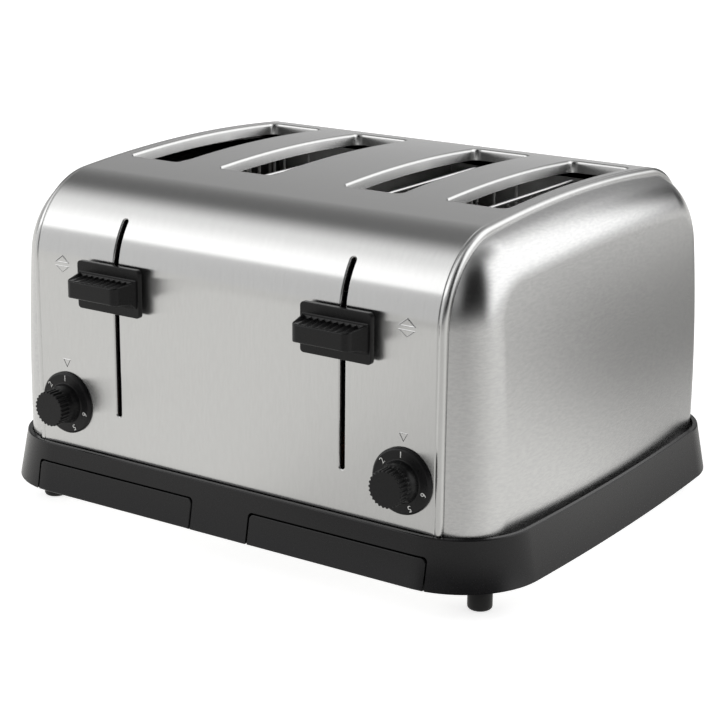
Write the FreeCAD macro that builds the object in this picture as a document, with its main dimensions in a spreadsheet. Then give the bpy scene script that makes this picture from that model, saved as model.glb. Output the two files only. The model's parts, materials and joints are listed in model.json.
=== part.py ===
import FreeCAD, Part
import math
import os
import re
import Sketcher

# Commercial four-slot toaster, millimetres, +Z up, front towards -Y.
# The origin is on the floor, under the middle of the whole toaster's box.

doc = FreeCAD.newDocument("CommercialToaster")
sheet = doc.addObject("Spreadsheet::Sheet", "Sizes")

# Driving sizes
SIZES = (
    # steel wrap, front to back over the top
    ("side_margin", 9.0),
    ("front_room", 59.0),
    ("rear_room", 41.0),
    ("body_height", 150.8),
    ("crown_radius", 940.0),
    ("crown_setback", 7.0),
    ("corner_radius", 45.0),
    ("sheet_wall", 1.0),
    ("bead_radius", 2.2),
    ("seam_flange", 6.0),
    # end covers
    ("seam_step", 2.4),
    ("cover_depth", 26.2),
    ("side_crown_radius", 1020.0),
    ("side_crown_height", 17.0),
    ("cover_corner", 25.0),
    # black base
    ("foot_height", 15.0),
    ("foot_radius", 6.2),
    ("foot_chamfer", 0.8),
    ("foot_boss_gap", 3.0),
    ("foot_inset_y", 29.9),
    ("foot_spigot_radius", 2.5),
    ("foot_spigot_length", 8.0),
    ("foot_spigot_gap", 0.5),
    ("foot_boss_radius", 9.0),
    ("base_side_overhang", 9.7),
    ("base_overhang", 8.4),
    ("base_height", 25.7),
    ("base_corner", 46.0),
    ("base_side_radius", 1670.0),
    ("base_flare", 4.8),
    ("rim_wall", 2.8),
    ("base_wall", 2.6),
    ("channel_depth", 3.0),
    ("rim_relief_gap", 0.3),
    ("deck_thickness", 2.5),
    ("crumb_opening_margin", 8.0),
    # bottom plate
    ("plate_thickness", 1.2),
    ("plate_clearance", 0.3),
    # crumb trays
    ("tray_width", 104.0),
    ("tray_front_height", 15.4),
    ("tray_front_thickness", 5.6),
    ("tray_front_corner", 2.5),
    ("tray_gap", 0.9),
    ("tray_clearance", 0.3),
    ("pan_rear_room", 33.4),
    ("pan_height", 11.5),
    ("pan_wall", 0.8),
    ("pan_side_clearance", 1.0),
    ("guide_wall", 2.0),
    # bread slots
    ("slot_width", 35.0),
    ("slot_length", 132.0),
    ("inner_slot", 40.1),
    ("slot_pitch", 61.0),
    ("slot_corner", 4.0),
    ("rim_wall_width", 1.5),
    ("rim_rise", 0.5),
    ("rim_drop", 7.5),
    # toasting chamber
    ("chamber_margin", 10.0),
    ("chamber_side_gap", 1.9),
    ("chamber_drop", 14.0),
    ("chassis_wall", 1.0),
    ("foot_flange", 42.0),
    ("head_flange", 28.0),
    ("rear_flange", 15.0),
    # heater boards
    ("heater_offset", 21.0),
    ("heater_wall", 1.0),
    ("heater_low", 18.0),
    ("heater_height", 110.0),
    ("ribbon_width", 2.5),
    ("ribbon_thickness", 0.4),
    ("ribbon_pitch", 11.0),
    ("ribbon_count", 13),
    # bread guards
    ("guard_offset", 12.5),
    ("guard_wire_radius", 0.9),
    ("guard_upright_radius", 0.7),
    ("guard_lower_radius", 1.1),
    ("guard_bend", 4.0),
    ("guard_low", 16.0),
    ("guard_top", 139.0),
    ("guard_end_gap", 6.0),
    ("guard_upright_count", 6),
    # carriage and its guide rods
    ("carriage_width", 68.0),
    ("carriage_height", 24.0),
    ("carriage_drop", 20.3),
    ("carriage_wall", 2.0),
    ("carriage_setback", 7.0),
    ("drop_travel", 62.0),
    ("lift_travel", 20.0),
    ("rod_radius", 3.0),
    ("rod_spacing", 40.0),
    ("rod_setback", 17.0),
    ("running_clearance", 0.05),
    ("sleeve_wall", 3.0),
    ("web_width", 4.0),
    ("arm_slit_width", 5.0),
    ("arm_slit_margin", 4.0),
    # bread racks
    ("rack_wall", 1.5),
    ("rack_height", 12.0),
    ("rack_inset", 4.0),
    ("rack_wire_radius", 1.0),
    ("rack_wire_length", 18.0),
    ("rack_wire_count", 9),
    # lever arm and lever knob
    ("lever_height", 95.5),
    ("lever_arm_wall", 1.6),
    ("lever_arm_height", 6.4),
    ("lever_arm_setback", 6.0),
    ("lever_gap", 3.2),
    ("lever_reach", 20.0),
    ("lever_plate_width", 41.0),
    ("lever_plate_height", 25.2),
    ("lever_plate_wall", 3.0),
    ("lever_plate_corner", 2.0),
    ("grip_height", 9.0),
    ("grip_rise", 0.7),
    ("grip_top_fall", 1.3),
    ("grip_root_drop", 7.8),
    ("grip_under_reach", 3.0),
    ("grip_root_rise", 7.4),
    ("grip_fillet_reach", 1.2),
    ("grip_fillet_step", 0.4),
    ("grip_front_width", 34.0),
    ("grip_root_width", 38.4),
    ("grip_corner", 4.4),
    ("grip_corner_step", 1.29),
    ("grip_edge", 1.0),
    ("groove_radius", 2.0),
    ("groove_depth", 0.9),
    ("groove_pitch", 3.7),
    ("groove_count", 9),
    ("groove_root", 1.2),
    ("slit_width", 2.9),
    ("slit_corner", 1.4),
    ("slit_low", 25.7),
    ("slit_high", 129.4),
    # armature and electromagnet
    ("armature_width", 16.0),
    ("armature_depth", 15.0),
    ("armature_wall", 3.0),
    ("armature_offset", 17.0),
    ("armature_setback", 3.0),
    ("shelf_rod_gap", 1.0),
    ("magnet_gap", 0.3),
    ("pole_radius", 3.5),
    ("coil_radius", 7.0),
    ("coil_end_gap", 4.0),
    ("yoke_wall", 4.0),
    # return spring
    ("spring_radius", 4.0),
    ("spring_bore_radius", 2.8),
    ("spring_offset", 9.0),
    # browning knob
    ("knob_inset", 21.7),
    ("knob_height", 27.2),
    ("knob_gap", 0.4),
    ("dial_radius", 16.7),
    ("dial_face", 2.2),
    ("dial_bevel", 1.1),
    ("hub_radius", 10.7),
    ("hub_lip", 0.5),
    ("hub_waist_radius", 10.1),
    ("hub_waist", 5.6),
    ("knob_grip_radius", 9.5),
    ("knob_grip_start", 7.2),
    ("knob_reach", 15.5),
    ("knob_edge", 0.5),
    ("flute_radius", 0.8),
    ("flute_length", 5.6),
    ("flute_count", 26),
    ("shaft_radius", 3.0),
    ("shaft_seat", 2.5),
    ("shaft_play", 0.02),
    ("panel_hole_radius", 4.0),
    # potentiometer and control board
    ("pot_radius", 8.5),
    ("pot_thickness", 9.0),
    ("pot_bush_radius", 5.0),
    ("pot_bush_length", 4.0),
    ("pot_floor", 1.0),
    ("board_thickness", 1.6),
    ("board_width", 36.0),
    ("board_height", 72.0),
    ("board_margin", 8.0),
    # terminal block and cord inlet
    ("terminal_width", 40.0),
    ("terminal_depth", 14.0),
    ("terminal_height", 18.0),
    ("terminal_low", 20.0),
    ("inlet_across", 60.0),
    ("inlet_height", 24.0),
    ("inlet_body_radius", 7.5),
    ("inlet_bore_radius", 4.2),
    ("inlet_flange_radius", 10.5),
    ("inlet_flange_wall", 3.5),
    ("inlet_body_length", 13.0),
    # screws
    ("screw_head_radius", 3.4),
    ("screw_head_height", 1.8),
    ("screw_radius", 1.7),
    ("screw_length", 8.0),
    ("chassis_screw_length", 3.4),
    ("screw_clearance", 0.05),
    ("screw_tip_gap", 0.3),
    ("chassis_screw_inset", 7.0),
    ("base_screw_boss_radius", 4.5),
    ("base_screw_setback", 44.5),
    # how far a cutting tool passes the material
    ("cut_past", 5.0),
)

# Sizes that follow from the driving ones
FOLLOWING = (
    ("body_width", "2 * (inner_slot + slot_pitch + slot_width / 2 + side_margin)"),
    ("body_depth", "slot_length + 2 * chamber_margin + front_room + rear_room"),
    ("slot_setback", "(front_room - rear_room) / 2"),
    ("side_reach", "body_width / 2 + cover_depth"),
    ("base_width", "2 * (side_reach + base_side_overhang)"),
    ("base_depth", "body_depth + 2 * base_overhang"),
    ("guide_across", "inner_slot + slot_pitch / 2 + tray_width / 2 + tray_gap + guide_wall"),
    ("foot_spacing_x", "2 * (guide_across + foot_boss_gap + foot_boss_radius)"),
    ("carriage_rest", "lever_height - carriage_drop"),
    ("foot_spacing_y", "base_depth - 2 * foot_inset_y"),
    ("base_screw_spacing_y", "foot_spacing_y - 2 * base_screw_setback"),
    ("pan_length", "base_depth - tray_front_thickness - pan_rear_room"),
    ("chamber_width", "2 * (inner_slot + slot_pitch + heater_offset + chamber_side_gap)"),
    ("guard_length", "slot_length - 2 * guard_end_gap"),
    ("knob_across", "body_width / 2 - knob_inset"),
    ("chassis_screw_across", "knob_across - board_width / 2 - board_margin"),
)
for row, (alias, value) in enumerate(SIZES + FOLLOWING, start=1):
    sheet.set(f"A{row}", alias)
    sheet.set(f"B{row}", f"={value}")
    sheet.setAlias(f"B{row}", alias)
doc.recompute()

ALIASES = {alias for alias, value in SIZES + FOLLOWING}
SIDES = (("left", -1), ("right", 1))


# Formulas of the driving sizes
def formula(text):
    """Give each size named in the text its sheet, as an expression needs."""
    return re.sub(r"[a-z_]+", lambda word: "Sizes." + word[0] if word[0] in ALIASES else word[0], str(text))


def number(text):
    """Value of a formula with the sizes as they are now."""
    return float(sheet.evalExpression(formula(text)))


# Heights above the floor
PLATE_TOP = "(foot_height + plate_thickness)"
RIM_TOP = "(foot_height + base_height)"
DECK_TOP = "(foot_height + base_height - channel_depth)"
DECK_UNDERSIDE = f"({DECK_TOP} - deck_thickness)"
CROWN = f"({DECK_TOP} + body_height)"
CHAMBER_TOP = f"({CROWN} - chamber_drop)"
CARRIAGE_LOW = f"({DECK_TOP} + carriage_rest)"
CARRIAGE_HIGH = f"({CARRIAGE_LOW} + carriage_height)"
LEVER = f"({DECK_TOP} + lever_height)"
KNOB = f"({DECK_TOP} + knob_height)"
INLET = f"({DECK_TOP} + inlet_height)"

# Depths, counted from the middle of the body
PANEL = "(-body_depth / 2)"
PANEL_INSIDE = "(sheet_wall - body_depth / 2)"
BACK = "(body_depth / 2)"
CHAMBER_FRONT = "(slot_setback - slot_length / 2 - chamber_margin)"
CHAMBER_REAR = "(slot_setback + slot_length / 2 + chamber_margin)"
BULKHEAD_FRONT = f"({CHAMBER_FRONT} - chassis_wall)"
BULKHEAD_REAR = f"({CHAMBER_REAR} + chassis_wall)"
CARRIAGE_REAR = f"({BULKHEAD_FRONT} - carriage_setback)"
CARRIAGE_FRONT = f"({CARRIAGE_REAR} - carriage_wall)"
ROD_LINE = f"({BULKHEAD_FRONT} - rod_setback)"
SLEEVE_RADIUS = "(rod_radius + running_clearance + sleeve_wall)"
MAGNET_REAR = f"({ROD_LINE} - {SLEEVE_RADIUS} - armature_setback)"
MAGNET_FRONT = f"({MAGNET_REAR} - armature_depth)"
BOARD_REAR = f"({PANEL_INSIDE} + pot_bush_length + pot_thickness + board_thickness)"
BASE_SHELL = "(base_flare + base_wall)"
TRAY_REAR = "(tray_front_thickness - base_depth / 2)"
PLATE_FRONT = f"({PANEL} - lever_gap)"

# Distances across, counted from the middle plane
LEVER_LINE = "(inner_slot + slot_pitch / 2)"
MAGNET_LINE = f"({LEVER_LINE} - armature_offset)"

# The whole toaster's box runs from the lever knobs to the back of the base
MIDDLE = "((body_depth / 2 + lever_reach - base_depth / 2) / 2)"


# Building helpers
def bind(item, **formulas):
    """Bind properties of an object to formulas, with a dot where a name has two underscores."""
    for name, text in formulas.items():
        item.setExpression(name.replace("__", "."), formula(text))


def place(item, x="0", y="0", z="0"):
    """Bind an object's place, with depth counted from the middle of the body."""
    bind(item, Placement__Base__x=x, Placement__Base__y=f"{MIDDLE} + {y}", Placement__Base__z=z)


def block(name, x, y, z):
    """Box between two formulas each way."""
    item = doc.addObject("Part::Box", name)
    bind(item, Length=f"({x[1]}) - ({x[0]})", Width=f"({y[1]}) - ({y[0]})", Height=f"({z[1]}) - ({z[0]})")
    place(item, f"({x[0]})", f"({y[0]})", f"({z[0]})")
    return item


def rod(name, axis, across, span, radius):
    """Cylinder along an axis, between the two formulas of span."""
    item = doc.addObject("Part::Cylinder", name)
    turns = {
        "x": (FreeCAD.Vector(0, 1, 0), 90),
        "y": (FreeCAD.Vector(1, 0, 0), -90),
        "z": (FreeCAD.Vector(0, 0, 1), 0),
    }
    item.Placement = FreeCAD.Placement(FreeCAD.Vector(), FreeCAD.Rotation(*turns[axis]))
    bind(item, Radius=radius, Height=f"({span[1]}) - ({span[0]})")
    corner = list(across)
    corner.insert("xyz".index(axis), span[0])
    place(item, *(f"({text})" for text in corner))
    return item


def fuse(name, *items):
    item = doc.addObject("Part::MultiFuse", name)
    item.Shapes = list(items)
    return item


def cut(name, base, *tools):
    """Take the tools away from the base."""
    item = doc.addObject("Part::Cut", name)
    item.Base = base
    item.Tool = tools[0] if len(tools) == 1 else fuse(name + "_tools", *tools)
    return item


def common(name, first, second):
    item = doc.addObject("Part::Common", name)
    item.Base = first
    item.Tool = second
    return item


def group(name, *items):
    """Separate solids that share one node."""
    item = doc.addObject("Part::Compound", name)
    item.Links = list(items)
    return item


def mirrored(name, source):
    """Copy of an object on the other side of the middle plane."""
    item = doc.addObject("Part::Mirroring", name)
    item.Source = source
    item.Base = FreeCAD.Vector(0, 0, 0)
    item.Normal = FreeCAD.Vector(1, 0, 0)
    return item


def new_sketch(body, name, plane):
    """Sketch on one of a body's own origin planes."""
    sketch = body.newObject("Sketcher::SketchObject", name)
    support = [feature for feature in body.Origin.OriginFeatures if feature.Role == plane + "_Plane"][0]
    sketch.AttachmentSupport = [(support, "")]
    sketch.MapMode = "FlatFace"
    return sketch


def dimension(sketch, text, kind, *places):
    """Add a dimension with its value bound to a formula."""
    index = sketch.addConstraint(Sketcher.Constraint(kind, *places, number(text)))
    sketch.setExpression(f"Constraints[{index}]", formula(text))


def polygon(sketch, points):
    """Closed outline with each corner dimensioned from the sketch's origin."""
    spots = [FreeCAD.Vector(number(h), number(v), 0) for h, v in points]
    count = len(points)
    lines = [sketch.addGeometry(Part.LineSegment(spots[i], spots[(i + 1) % count])) for i in range(count)]
    for i, line in enumerate(lines):
        sketch.addConstraint(Sketcher.Constraint("Coincident", line, 2, lines[(i + 1) % count], 1))
        dimension(sketch, points[i][0], "DistanceX", -1, 1, line, 1)
        dimension(sketch, points[i][1], "DistanceY", -1, 1, line, 1)


def arc(centre, radius, start, end):
    """Arc of a circle in a sketch, with its angles in radians."""
    circle = Part.Circle(FreeCAD.Vector(centre[0], centre[1], 0), FreeCAD.Vector(0, 0, 1), radius)
    return Part.ArcOfCircle(circle, start, end)


def segment(start, end):
    return Part.LineSegment(FreeCAD.Vector(*start, 0), FreeCAD.Vector(*end, 0))


def padded(body, name, sketch, length):
    """Pad a sketch and make it the tip of its body."""
    pad = body.newObject("PartDesign::Pad", name)
    pad.Profile = sketch
    bind(pad, Length=length)
    return pad


def slab(name, plane, across, up, along, corner):
    """Rounded plate: its outline lies in a plane, and along gives its span square to that."""
    body = doc.addObject("PartDesign::Body", name)
    sketch = new_sketch(body, name + "_outline", plane)
    width = f"(({across[1]}) - ({across[0]}))"
    height = f"(({up[1]}) - ({up[0]}))"
    wide, high, round_off = number(width), number(height), number(corner)
    inner = (round_off, wide - round_off, high - round_off)
    sides = (
        segment((inner[0], 0), (inner[1], 0)),
        arc((inner[1], round_off), round_off, -math.pi / 2, 0),
        segment((wide, round_off), (wide, inner[2])),
        arc((inner[1], inner[2]), round_off, 0, math.pi / 2),
        segment((inner[1], high), (inner[0], high)),
        arc((round_off, inner[2]), round_off, math.pi / 2, math.pi),
        segment((0, inner[2]), (0, round_off)),
        arc((round_off, round_off), round_off, math.pi, 1.5 * math.pi),
    )
    pieces = [sketch.addGeometry(side) for side in sides]
    for i, piece in enumerate(pieces):
        following = pieces[(i + 1) % len(pieces)]
        sketch.addConstraint(Sketcher.Constraint("Tangent", piece, 2, following, 1))
    for piece in (pieces[3], pieces[5], pieces[7]):
        sketch.addConstraint(Sketcher.Constraint("Equal", pieces[1], piece))
    sketch.addConstraint(Sketcher.Constraint("Horizontal", pieces[0]))
    sketch.addConstraint(Sketcher.Constraint("Vertical", pieces[2]))
    sketch.addConstraint(Sketcher.Constraint("PointOnObject", pieces[0], 1, -1))
    sketch.addConstraint(Sketcher.Constraint("PointOnObject", pieces[6], 1, -2))
    dimension(sketch, corner, "Radius", pieces[1])
    dimension(sketch, width, "DistanceX", pieces[6], 1, pieces[2], 1)
    dimension(sketch, height, "DistanceY", pieces[0], 1, pieces[4], 1)
    pad = padded(body, name + "_pad", sketch, f"({along[1]}) - ({along[0]})")
    if plane == "XZ":
        pad.Reversed = True
        place(body, f"({across[0]})", f"({along[0]})", f"({up[0]})")
    else:
        place(body, f"({across[0]})", f"({up[0]})", f"({along[0]})")
    return body


# The body's side profile, shared by the wrap and the end covers
def side_profile(body, name, inset, bottom):
    """Flat front and back, rounded corners and one long arc over the top, all tangent."""
    sketch = new_sketch(body, name, "YZ")
    half = number(f"body_depth / 2 - {inset}")
    foot = number(bottom)
    corner = number(f"corner_radius - {inset}")
    crown = number(f"crown_radius - {inset}")
    crown_middle = number("crown_setback")
    crown_centre = number(f"{CROWN} - crown_radius")
    side = half - corner
    spread = crown - corner
    back_turn = math.acos((side - crown_middle) / spread)
    front_turn = math.pi - math.acos((side + crown_middle) / spread)
    back_shoulder = crown_centre + spread * math.sin(back_turn)
    front_shoulder = crown_centre + spread * math.sin(front_turn)
    floor = sketch.addGeometry(segment((-half, foot), (half, foot)))
    back = sketch.addGeometry(segment((half, foot), (half, back_shoulder)))
    back_corner = sketch.addGeometry(arc((side, back_shoulder), corner, 0, back_turn))
    top = sketch.addGeometry(arc((crown_middle, crown_centre), crown, back_turn, front_turn))
    front_corner = sketch.addGeometry(arc((-side, front_shoulder), corner, front_turn, math.pi))
    front = sketch.addGeometry(segment((-half, front_shoulder), (-half, foot)))
    for first, second in ((floor, back), (front, floor)):
        sketch.addConstraint(Sketcher.Constraint("Coincident", first, 2, second, 1))
    joins = ((back, back_corner), (back_corner, top), (top, front_corner), (front_corner, front))
    for first, second in joins:
        sketch.addConstraint(Sketcher.Constraint("Tangent", first, 2, second, 1))
    sketch.addConstraint(Sketcher.Constraint("Horizontal", floor))
    sketch.addConstraint(Sketcher.Constraint("Vertical", back))
    sketch.addConstraint(Sketcher.Constraint("Vertical", front))
    sketch.addConstraint(Sketcher.Constraint("Equal", back_corner, front_corner))
    dimension(sketch, f"corner_radius - {inset}", "Radius", back_corner)
    dimension(sketch, f"crown_radius - {inset}", "Radius", top)
    dimension(sketch, f"body_depth - 2 * {inset}", "DistanceX", floor, 1, floor, 2)
    dimension(sketch, f"body_depth / 2 - {inset}", "DistanceX", -1, 1, floor, 2)
    dimension(sketch, bottom, "DistanceY", -1, 1, floor, 1)
    dimension(sketch, "crown_setback", "DistanceX", -1, 1, top, 3)
    dimension(sketch, f"crown_radius - {CROWN}", "DistanceY", top, 3, -1, 1)
    return sketch


def profile_body(name, inset, bottom, across):
    """Solid of the side profile, between two distances across."""
    body = doc.addObject("PartDesign::Body", name)
    sketch = side_profile(body, name + "_profile", inset, bottom)
    padded(body, name + "_pad", sketch, f"({across[1]}) - ({across[0]})")
    place(body, f"({across[0]})")
    return body


def rounded(body, name, radius, chosen):
    """Fillet the edges of a body's tip that the test chooses."""
    doc.recompute()
    tip = body.Tip
    names = [f"Edge{i}" for i, edge in enumerate(tip.Shape.Edges, start=1) if chosen(edge)]
    fillet = body.newObject("PartDesign::Fillet", name)
    fillet.Base = (tip, names)
    bind(fillet, Radius=radius)
    return fillet


def above(edge, level):
    """Whether an edge leaves the level where a shell stands."""
    return max(vertex.Z for vertex in edge.Vertexes) > level + 0.01


def at_end(edge, distances):
    """Whether an edge lies square to X at one of the distances."""
    box = edge.BoundBox
    return box.XLength < 0.001 and any(abs(box.XMin - distance) < 0.001 for distance in distances)


# Bread slots, from the far left to the far right
SLOTS = tuple(
    (name, f"({sign} * (inner_slot + {pitches} * slot_pitch))")
    for name, sign, pitches in (
        ("far_left", -1, 1),
        ("near_left", -1, 0),
        ("near_right", 1, 0),
        ("far_right", 1, 1),
    )
)
SLOT_DEPTH = ("slot_setback - slot_length / 2", "slot_setback + slot_length / 2")
ABOVE_ALL = f"({CROWN} + cut_past)"


# Steel wrap with its bread slots, lever slits and holes
def make_wrap():
    outside = profile_body("wrap_outside", "0", DECK_TOP, ("-body_width / 2", "body_width / 2"))
    seams = (0, number("body_width"))
    stand = number(DECK_TOP)
    rounded(outside, "wrap_bead", "bead_radius", lambda edge: at_end(edge, seams) and above(edge, stand))
    below = f"({DECK_TOP} - cut_past)"
    inside = ("sheet_wall - body_width / 2", "body_width / 2 - sheet_wall")
    past = ("-body_width / 2 - cut_past", "body_width / 2 + cut_past")
    hollow = profile_body("wrap_hollow", "sheet_wall", below, inside)
    ends = profile_body("wrap_ends", "seam_flange", below, past)
    shell = cut("wrap_shell", outside, hollow, ends)
    blanks = []
    openings = []
    for name, line in SLOTS:
        ring = (f"{line} - slot_width / 2 - rim_wall_width", f"{line} + slot_width / 2 + rim_wall_width")
        ring_depth = (f"{SLOT_DEPTH[0]} - rim_wall_width", f"{SLOT_DEPTH[1]} + rim_wall_width")
        rim_span = (f"{CROWN} - rim_drop", ABOVE_ALL)
        blanks.append(slab(f"rim_{name}", "XY", ring, ring_depth, rim_span, "slot_corner + rim_wall_width"))
        hole = (f"{line} - slot_width / 2", f"{line} + slot_width / 2")
        hole_span = (f"{CROWN} - rim_drop - cut_past", ABOVE_ALL)
        openings.append(slab(f"slot_{name}", "XY", hole, SLOT_DEPTH, hole_span, "slot_corner"))
    rim_limit = profile_body("rim_limit", "(-rim_rise)", DECK_TOP, inside)
    rims = common("slot_rims", rim_limit, fuse("rim_blanks", *blanks))
    whole = fuse("wrap_with_rims", shell, rims)
    through = (f"{PANEL} - cut_past", f"{PANEL} + corner_radius / 2")
    for side, sign in SIDES:
        line = f"({sign} * {LEVER_LINE})"
        slit = (f"{line} - slit_width / 2", f"{line} + slit_width / 2")
        slit_span = (f"{DECK_TOP} + slit_low", f"{DECK_TOP} + slit_high")
        openings.append(slab(f"slit_{side}", "XZ", slit, slit_span, through, "slit_corner"))
        spot = (f"{sign} * knob_across", KNOB)
        openings.append(rod(f"knob_hole_{side}", "y", spot, through, "panel_hole_radius"))
    inlet_span = (f"{BACK} - cut_past", f"{BACK} + cut_past")
    inlet_radius = "inlet_body_radius + screw_clearance"
    openings.append(rod("inlet_hole", "y", ("inlet_across", INLET), inlet_span, inlet_radius))
    return cut("wrap_housing", whole, *openings)


# End covers, deep drawn with a softly crowned side
def cover_form(name, inset, start, bottom):
    """Closed form of a right end cover, drawn in by the inset from its outside."""
    body = doc.addObject("PartDesign::Body", name)
    sketch = side_profile(body, name + "_profile", f"(seam_step + {inset})", bottom)
    padded(body, name + "_pad", sketch, f"side_reach - {start} + cut_past")
    place(body, start)
    crown = new_sketch(body, name + "_crown_outline", "XZ")
    bind(crown, AttachmentOffset__Base__y=f"{DECK_TOP} + side_crown_height")
    reach = number(f"side_reach - {start} - {inset}")
    radius = number(f"side_crown_radius - {inset}")
    wide = number("body_depth")
    fall = radius - math.sqrt(radius * radius - wide * wide)
    beyond = f"side_reach - {start} + 2 * cut_past"
    outer = number(beyond)
    angle = math.asin(wide / radius)
    bow = crown.addGeometry(arc((reach - radius, 0), radius, 0, angle))
    top = crown.addGeometry(segment((reach - fall, wide), (outer, wide)))
    end = crown.addGeometry(segment((outer, wide), (outer, 0)))
    axis = crown.addGeometry(segment((outer, 0), (reach, 0)))
    for first, second in ((bow, top), (top, end), (end, axis), (axis, bow)):
        crown.addConstraint(Sketcher.Constraint("Coincident", first, 2, second, 1))
    crown.addConstraint(Sketcher.Constraint("Horizontal", top))
    crown.addConstraint(Sketcher.Constraint("Vertical", end))
    crown.addConstraint(Sketcher.Constraint("PointOnObject", end, 2, -1))
    crown.addConstraint(Sketcher.Constraint("PointOnObject", bow, 1, -1))
    crown.addConstraint(Sketcher.Constraint("PointOnObject", bow, 3, -1))
    dimension(crown, f"side_crown_radius - {inset}", "Radius", bow)
    dimension(crown, f"side_reach - {start} - {inset}", "DistanceX", -1, 1, bow, 1)
    dimension(crown, beyond, "DistanceX", -1, 1, end, 1)
    dimension(crown, "body_depth", "DistanceY", -1, 1, end, 1)
    groove = body.newObject("PartDesign::Groove", name + "_crown")
    groove.Profile = crown
    groove.ReferenceAxis = (crown, ["H_Axis"])
    groove.Angle = 360
    stand = number(bottom)

    def on_crown(edge):
        box = edge.BoundBox
        is_seam = box.YLength < 0.001 and abs(box.YMin) < 0.001
        return box.XMin > 0.01 and above(edge, stand) and not is_seam

    rounded(body, name + "_edge", f"cover_corner - {inset}", on_crown)
    return body


def make_end_covers():
    seam = "(body_width / 2)"
    root = f"({seam} - cover_corner)"
    below = f"({DECK_TOP} - cut_past)"
    outside = cover_form("cover_outside", "0", root, DECK_TOP)
    inside = cover_form("cover_inside", "sheet_wall", root, below)
    all_depth = ("-body_depth", "body_depth")
    beyond = block("cover_limit", (f"{seam} + sheet_wall", "side_reach"), all_depth, ("0", ABOVE_ALL))
    hollow = common("cover_hollow", inside, beyond)
    trim = block("cover_trim", (f"{root} - cut_past", seam), all_depth, ("0", ABOVE_ALL))
    mouth_span = (f"{seam} - cut_past", f"{seam} + cut_past")
    mouth = profile_body("cover_mouth", "(seam_step + seam_flange)", below, mouth_span)
    right = cut("end_cover_right", outside, hollow, mouth, trim)
    return mirrored("end_cover_left", right), right


# Plan of the base: straight front and back, bowed sides
def base_outline(body, name, inset):
    sketch = new_sketch(body, name, "XY")
    half_width = number(f"base_width / 2 - {inset}")
    half_depth = number(f"base_depth / 2 - {inset}")
    corner = number(f"base_corner - {inset}")
    bow = number(f"base_side_radius - {inset}")
    bow_centre = half_width - bow
    rise = half_depth - corner
    spread = bow - corner
    turn = math.asin(rise / spread)
    run = bow_centre + spread * math.cos(turn)
    quarter = math.pi / 2
    front = sketch.addGeometry(segment((-run, -half_depth), (run, -half_depth)))
    front_right = sketch.addGeometry(arc((run, -rise), corner, -quarter, -turn))
    right = sketch.addGeometry(arc((bow_centre, 0), bow, -turn, turn))
    back_right = sketch.addGeometry(arc((run, rise), corner, turn, quarter))
    back = sketch.addGeometry(segment((run, half_depth), (-run, half_depth)))
    back_left = sketch.addGeometry(arc((-run, rise), corner, quarter, math.pi - turn))
    left = sketch.addGeometry(arc((-bow_centre, 0), bow, math.pi - turn, math.pi + turn))
    front_left = sketch.addGeometry(arc((-run, -rise), corner, math.pi + turn, 3 * quarter))
    ring = (front, front_right, right, back_right, back, back_left, left, front_left)
    for i, piece in enumerate(ring):
        sketch.addConstraint(Sketcher.Constraint("Tangent", piece, 2, ring[(i + 1) % len(ring)], 1))
    for piece in (back_right, back_left, front_left):
        sketch.addConstraint(Sketcher.Constraint("Equal", front_right, piece))
    for side in (right, left):
        sketch.addConstraint(Sketcher.Constraint("PointOnObject", side, 3, -1))
        dimension(sketch, f"base_side_radius - {inset}", "Radius", side)
    sketch.addConstraint(Sketcher.Constraint("Horizontal", front))
    sketch.addConstraint(Sketcher.Constraint("Horizontal", back))
    dimension(sketch, f"base_corner - {inset}", "Radius", front_right)
    dimension(sketch, f"base_side_radius - base_width / 2", "DistanceX", right, 3, -1, 1)
    dimension(sketch, f"base_side_radius - base_width / 2", "DistanceX", -1, 1, left, 3)
    dimension(sketch, f"base_depth / 2 - {inset}", "DistanceY", front, 1, -1, 1)
    dimension(sketch, f"base_depth / 2 - {inset}", "DistanceY", -1, 1, back, 1)
    return sketch


def base_body(name, inset, span, flare="0"):
    """Solid of the base's plan between two heights, drawn in by the flare at its top."""
    body = doc.addObject("PartDesign::Body", name)
    sketch = base_outline(body, name + "_plan", inset)
    pad = padded(body, name + "_pad", sketch, f"({span[1]}) - ({span[0]})")
    if flare != "0":
        bind(pad, TaperAngle=f"-atan({flare} / (({span[1]}) - ({span[0]})))")
    place(body, "0", "0", f"({span[0]})")
    return body


def corners(spacing_x, spacing_y):
    """Names and signs of the four corners of a rectangle, with formulas of their places."""
    for depth, sign_y in (("front", -1), ("rear", 1)):
        for side, sign_x in SIDES:
            yield f"{depth}_{side}", f"{sign_x} * {spacing_x} / 2", f"{sign_y} * {spacing_y} / 2"


def make_tray_guides(side, sign):
    """Rails at both sides of a crumb tray, held between the deck and the bottom plate."""
    rails = []
    half = "(tray_width / 2 + tray_gap)"
    depth = (f"2 * {BASE_SHELL} - base_depth / 2", f"base_depth / 2 - 2 * {BASE_SHELL}")
    for edge, way in (("inner", -sign), ("outer", sign)):
        start = f"{sign} * {LEVER_LINE} + {way} * {half}"
        end = f"{start} + {way} * guide_wall"
        span = (start, end) if way > 0 else (end, start)
        rails.append(block(f"tray_guide_{side}_{edge}", span, depth, (PLATE_TOP, DECK_UNDERSIDE)))
    return group(f"tray_guides_{side}", *rails)


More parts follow.
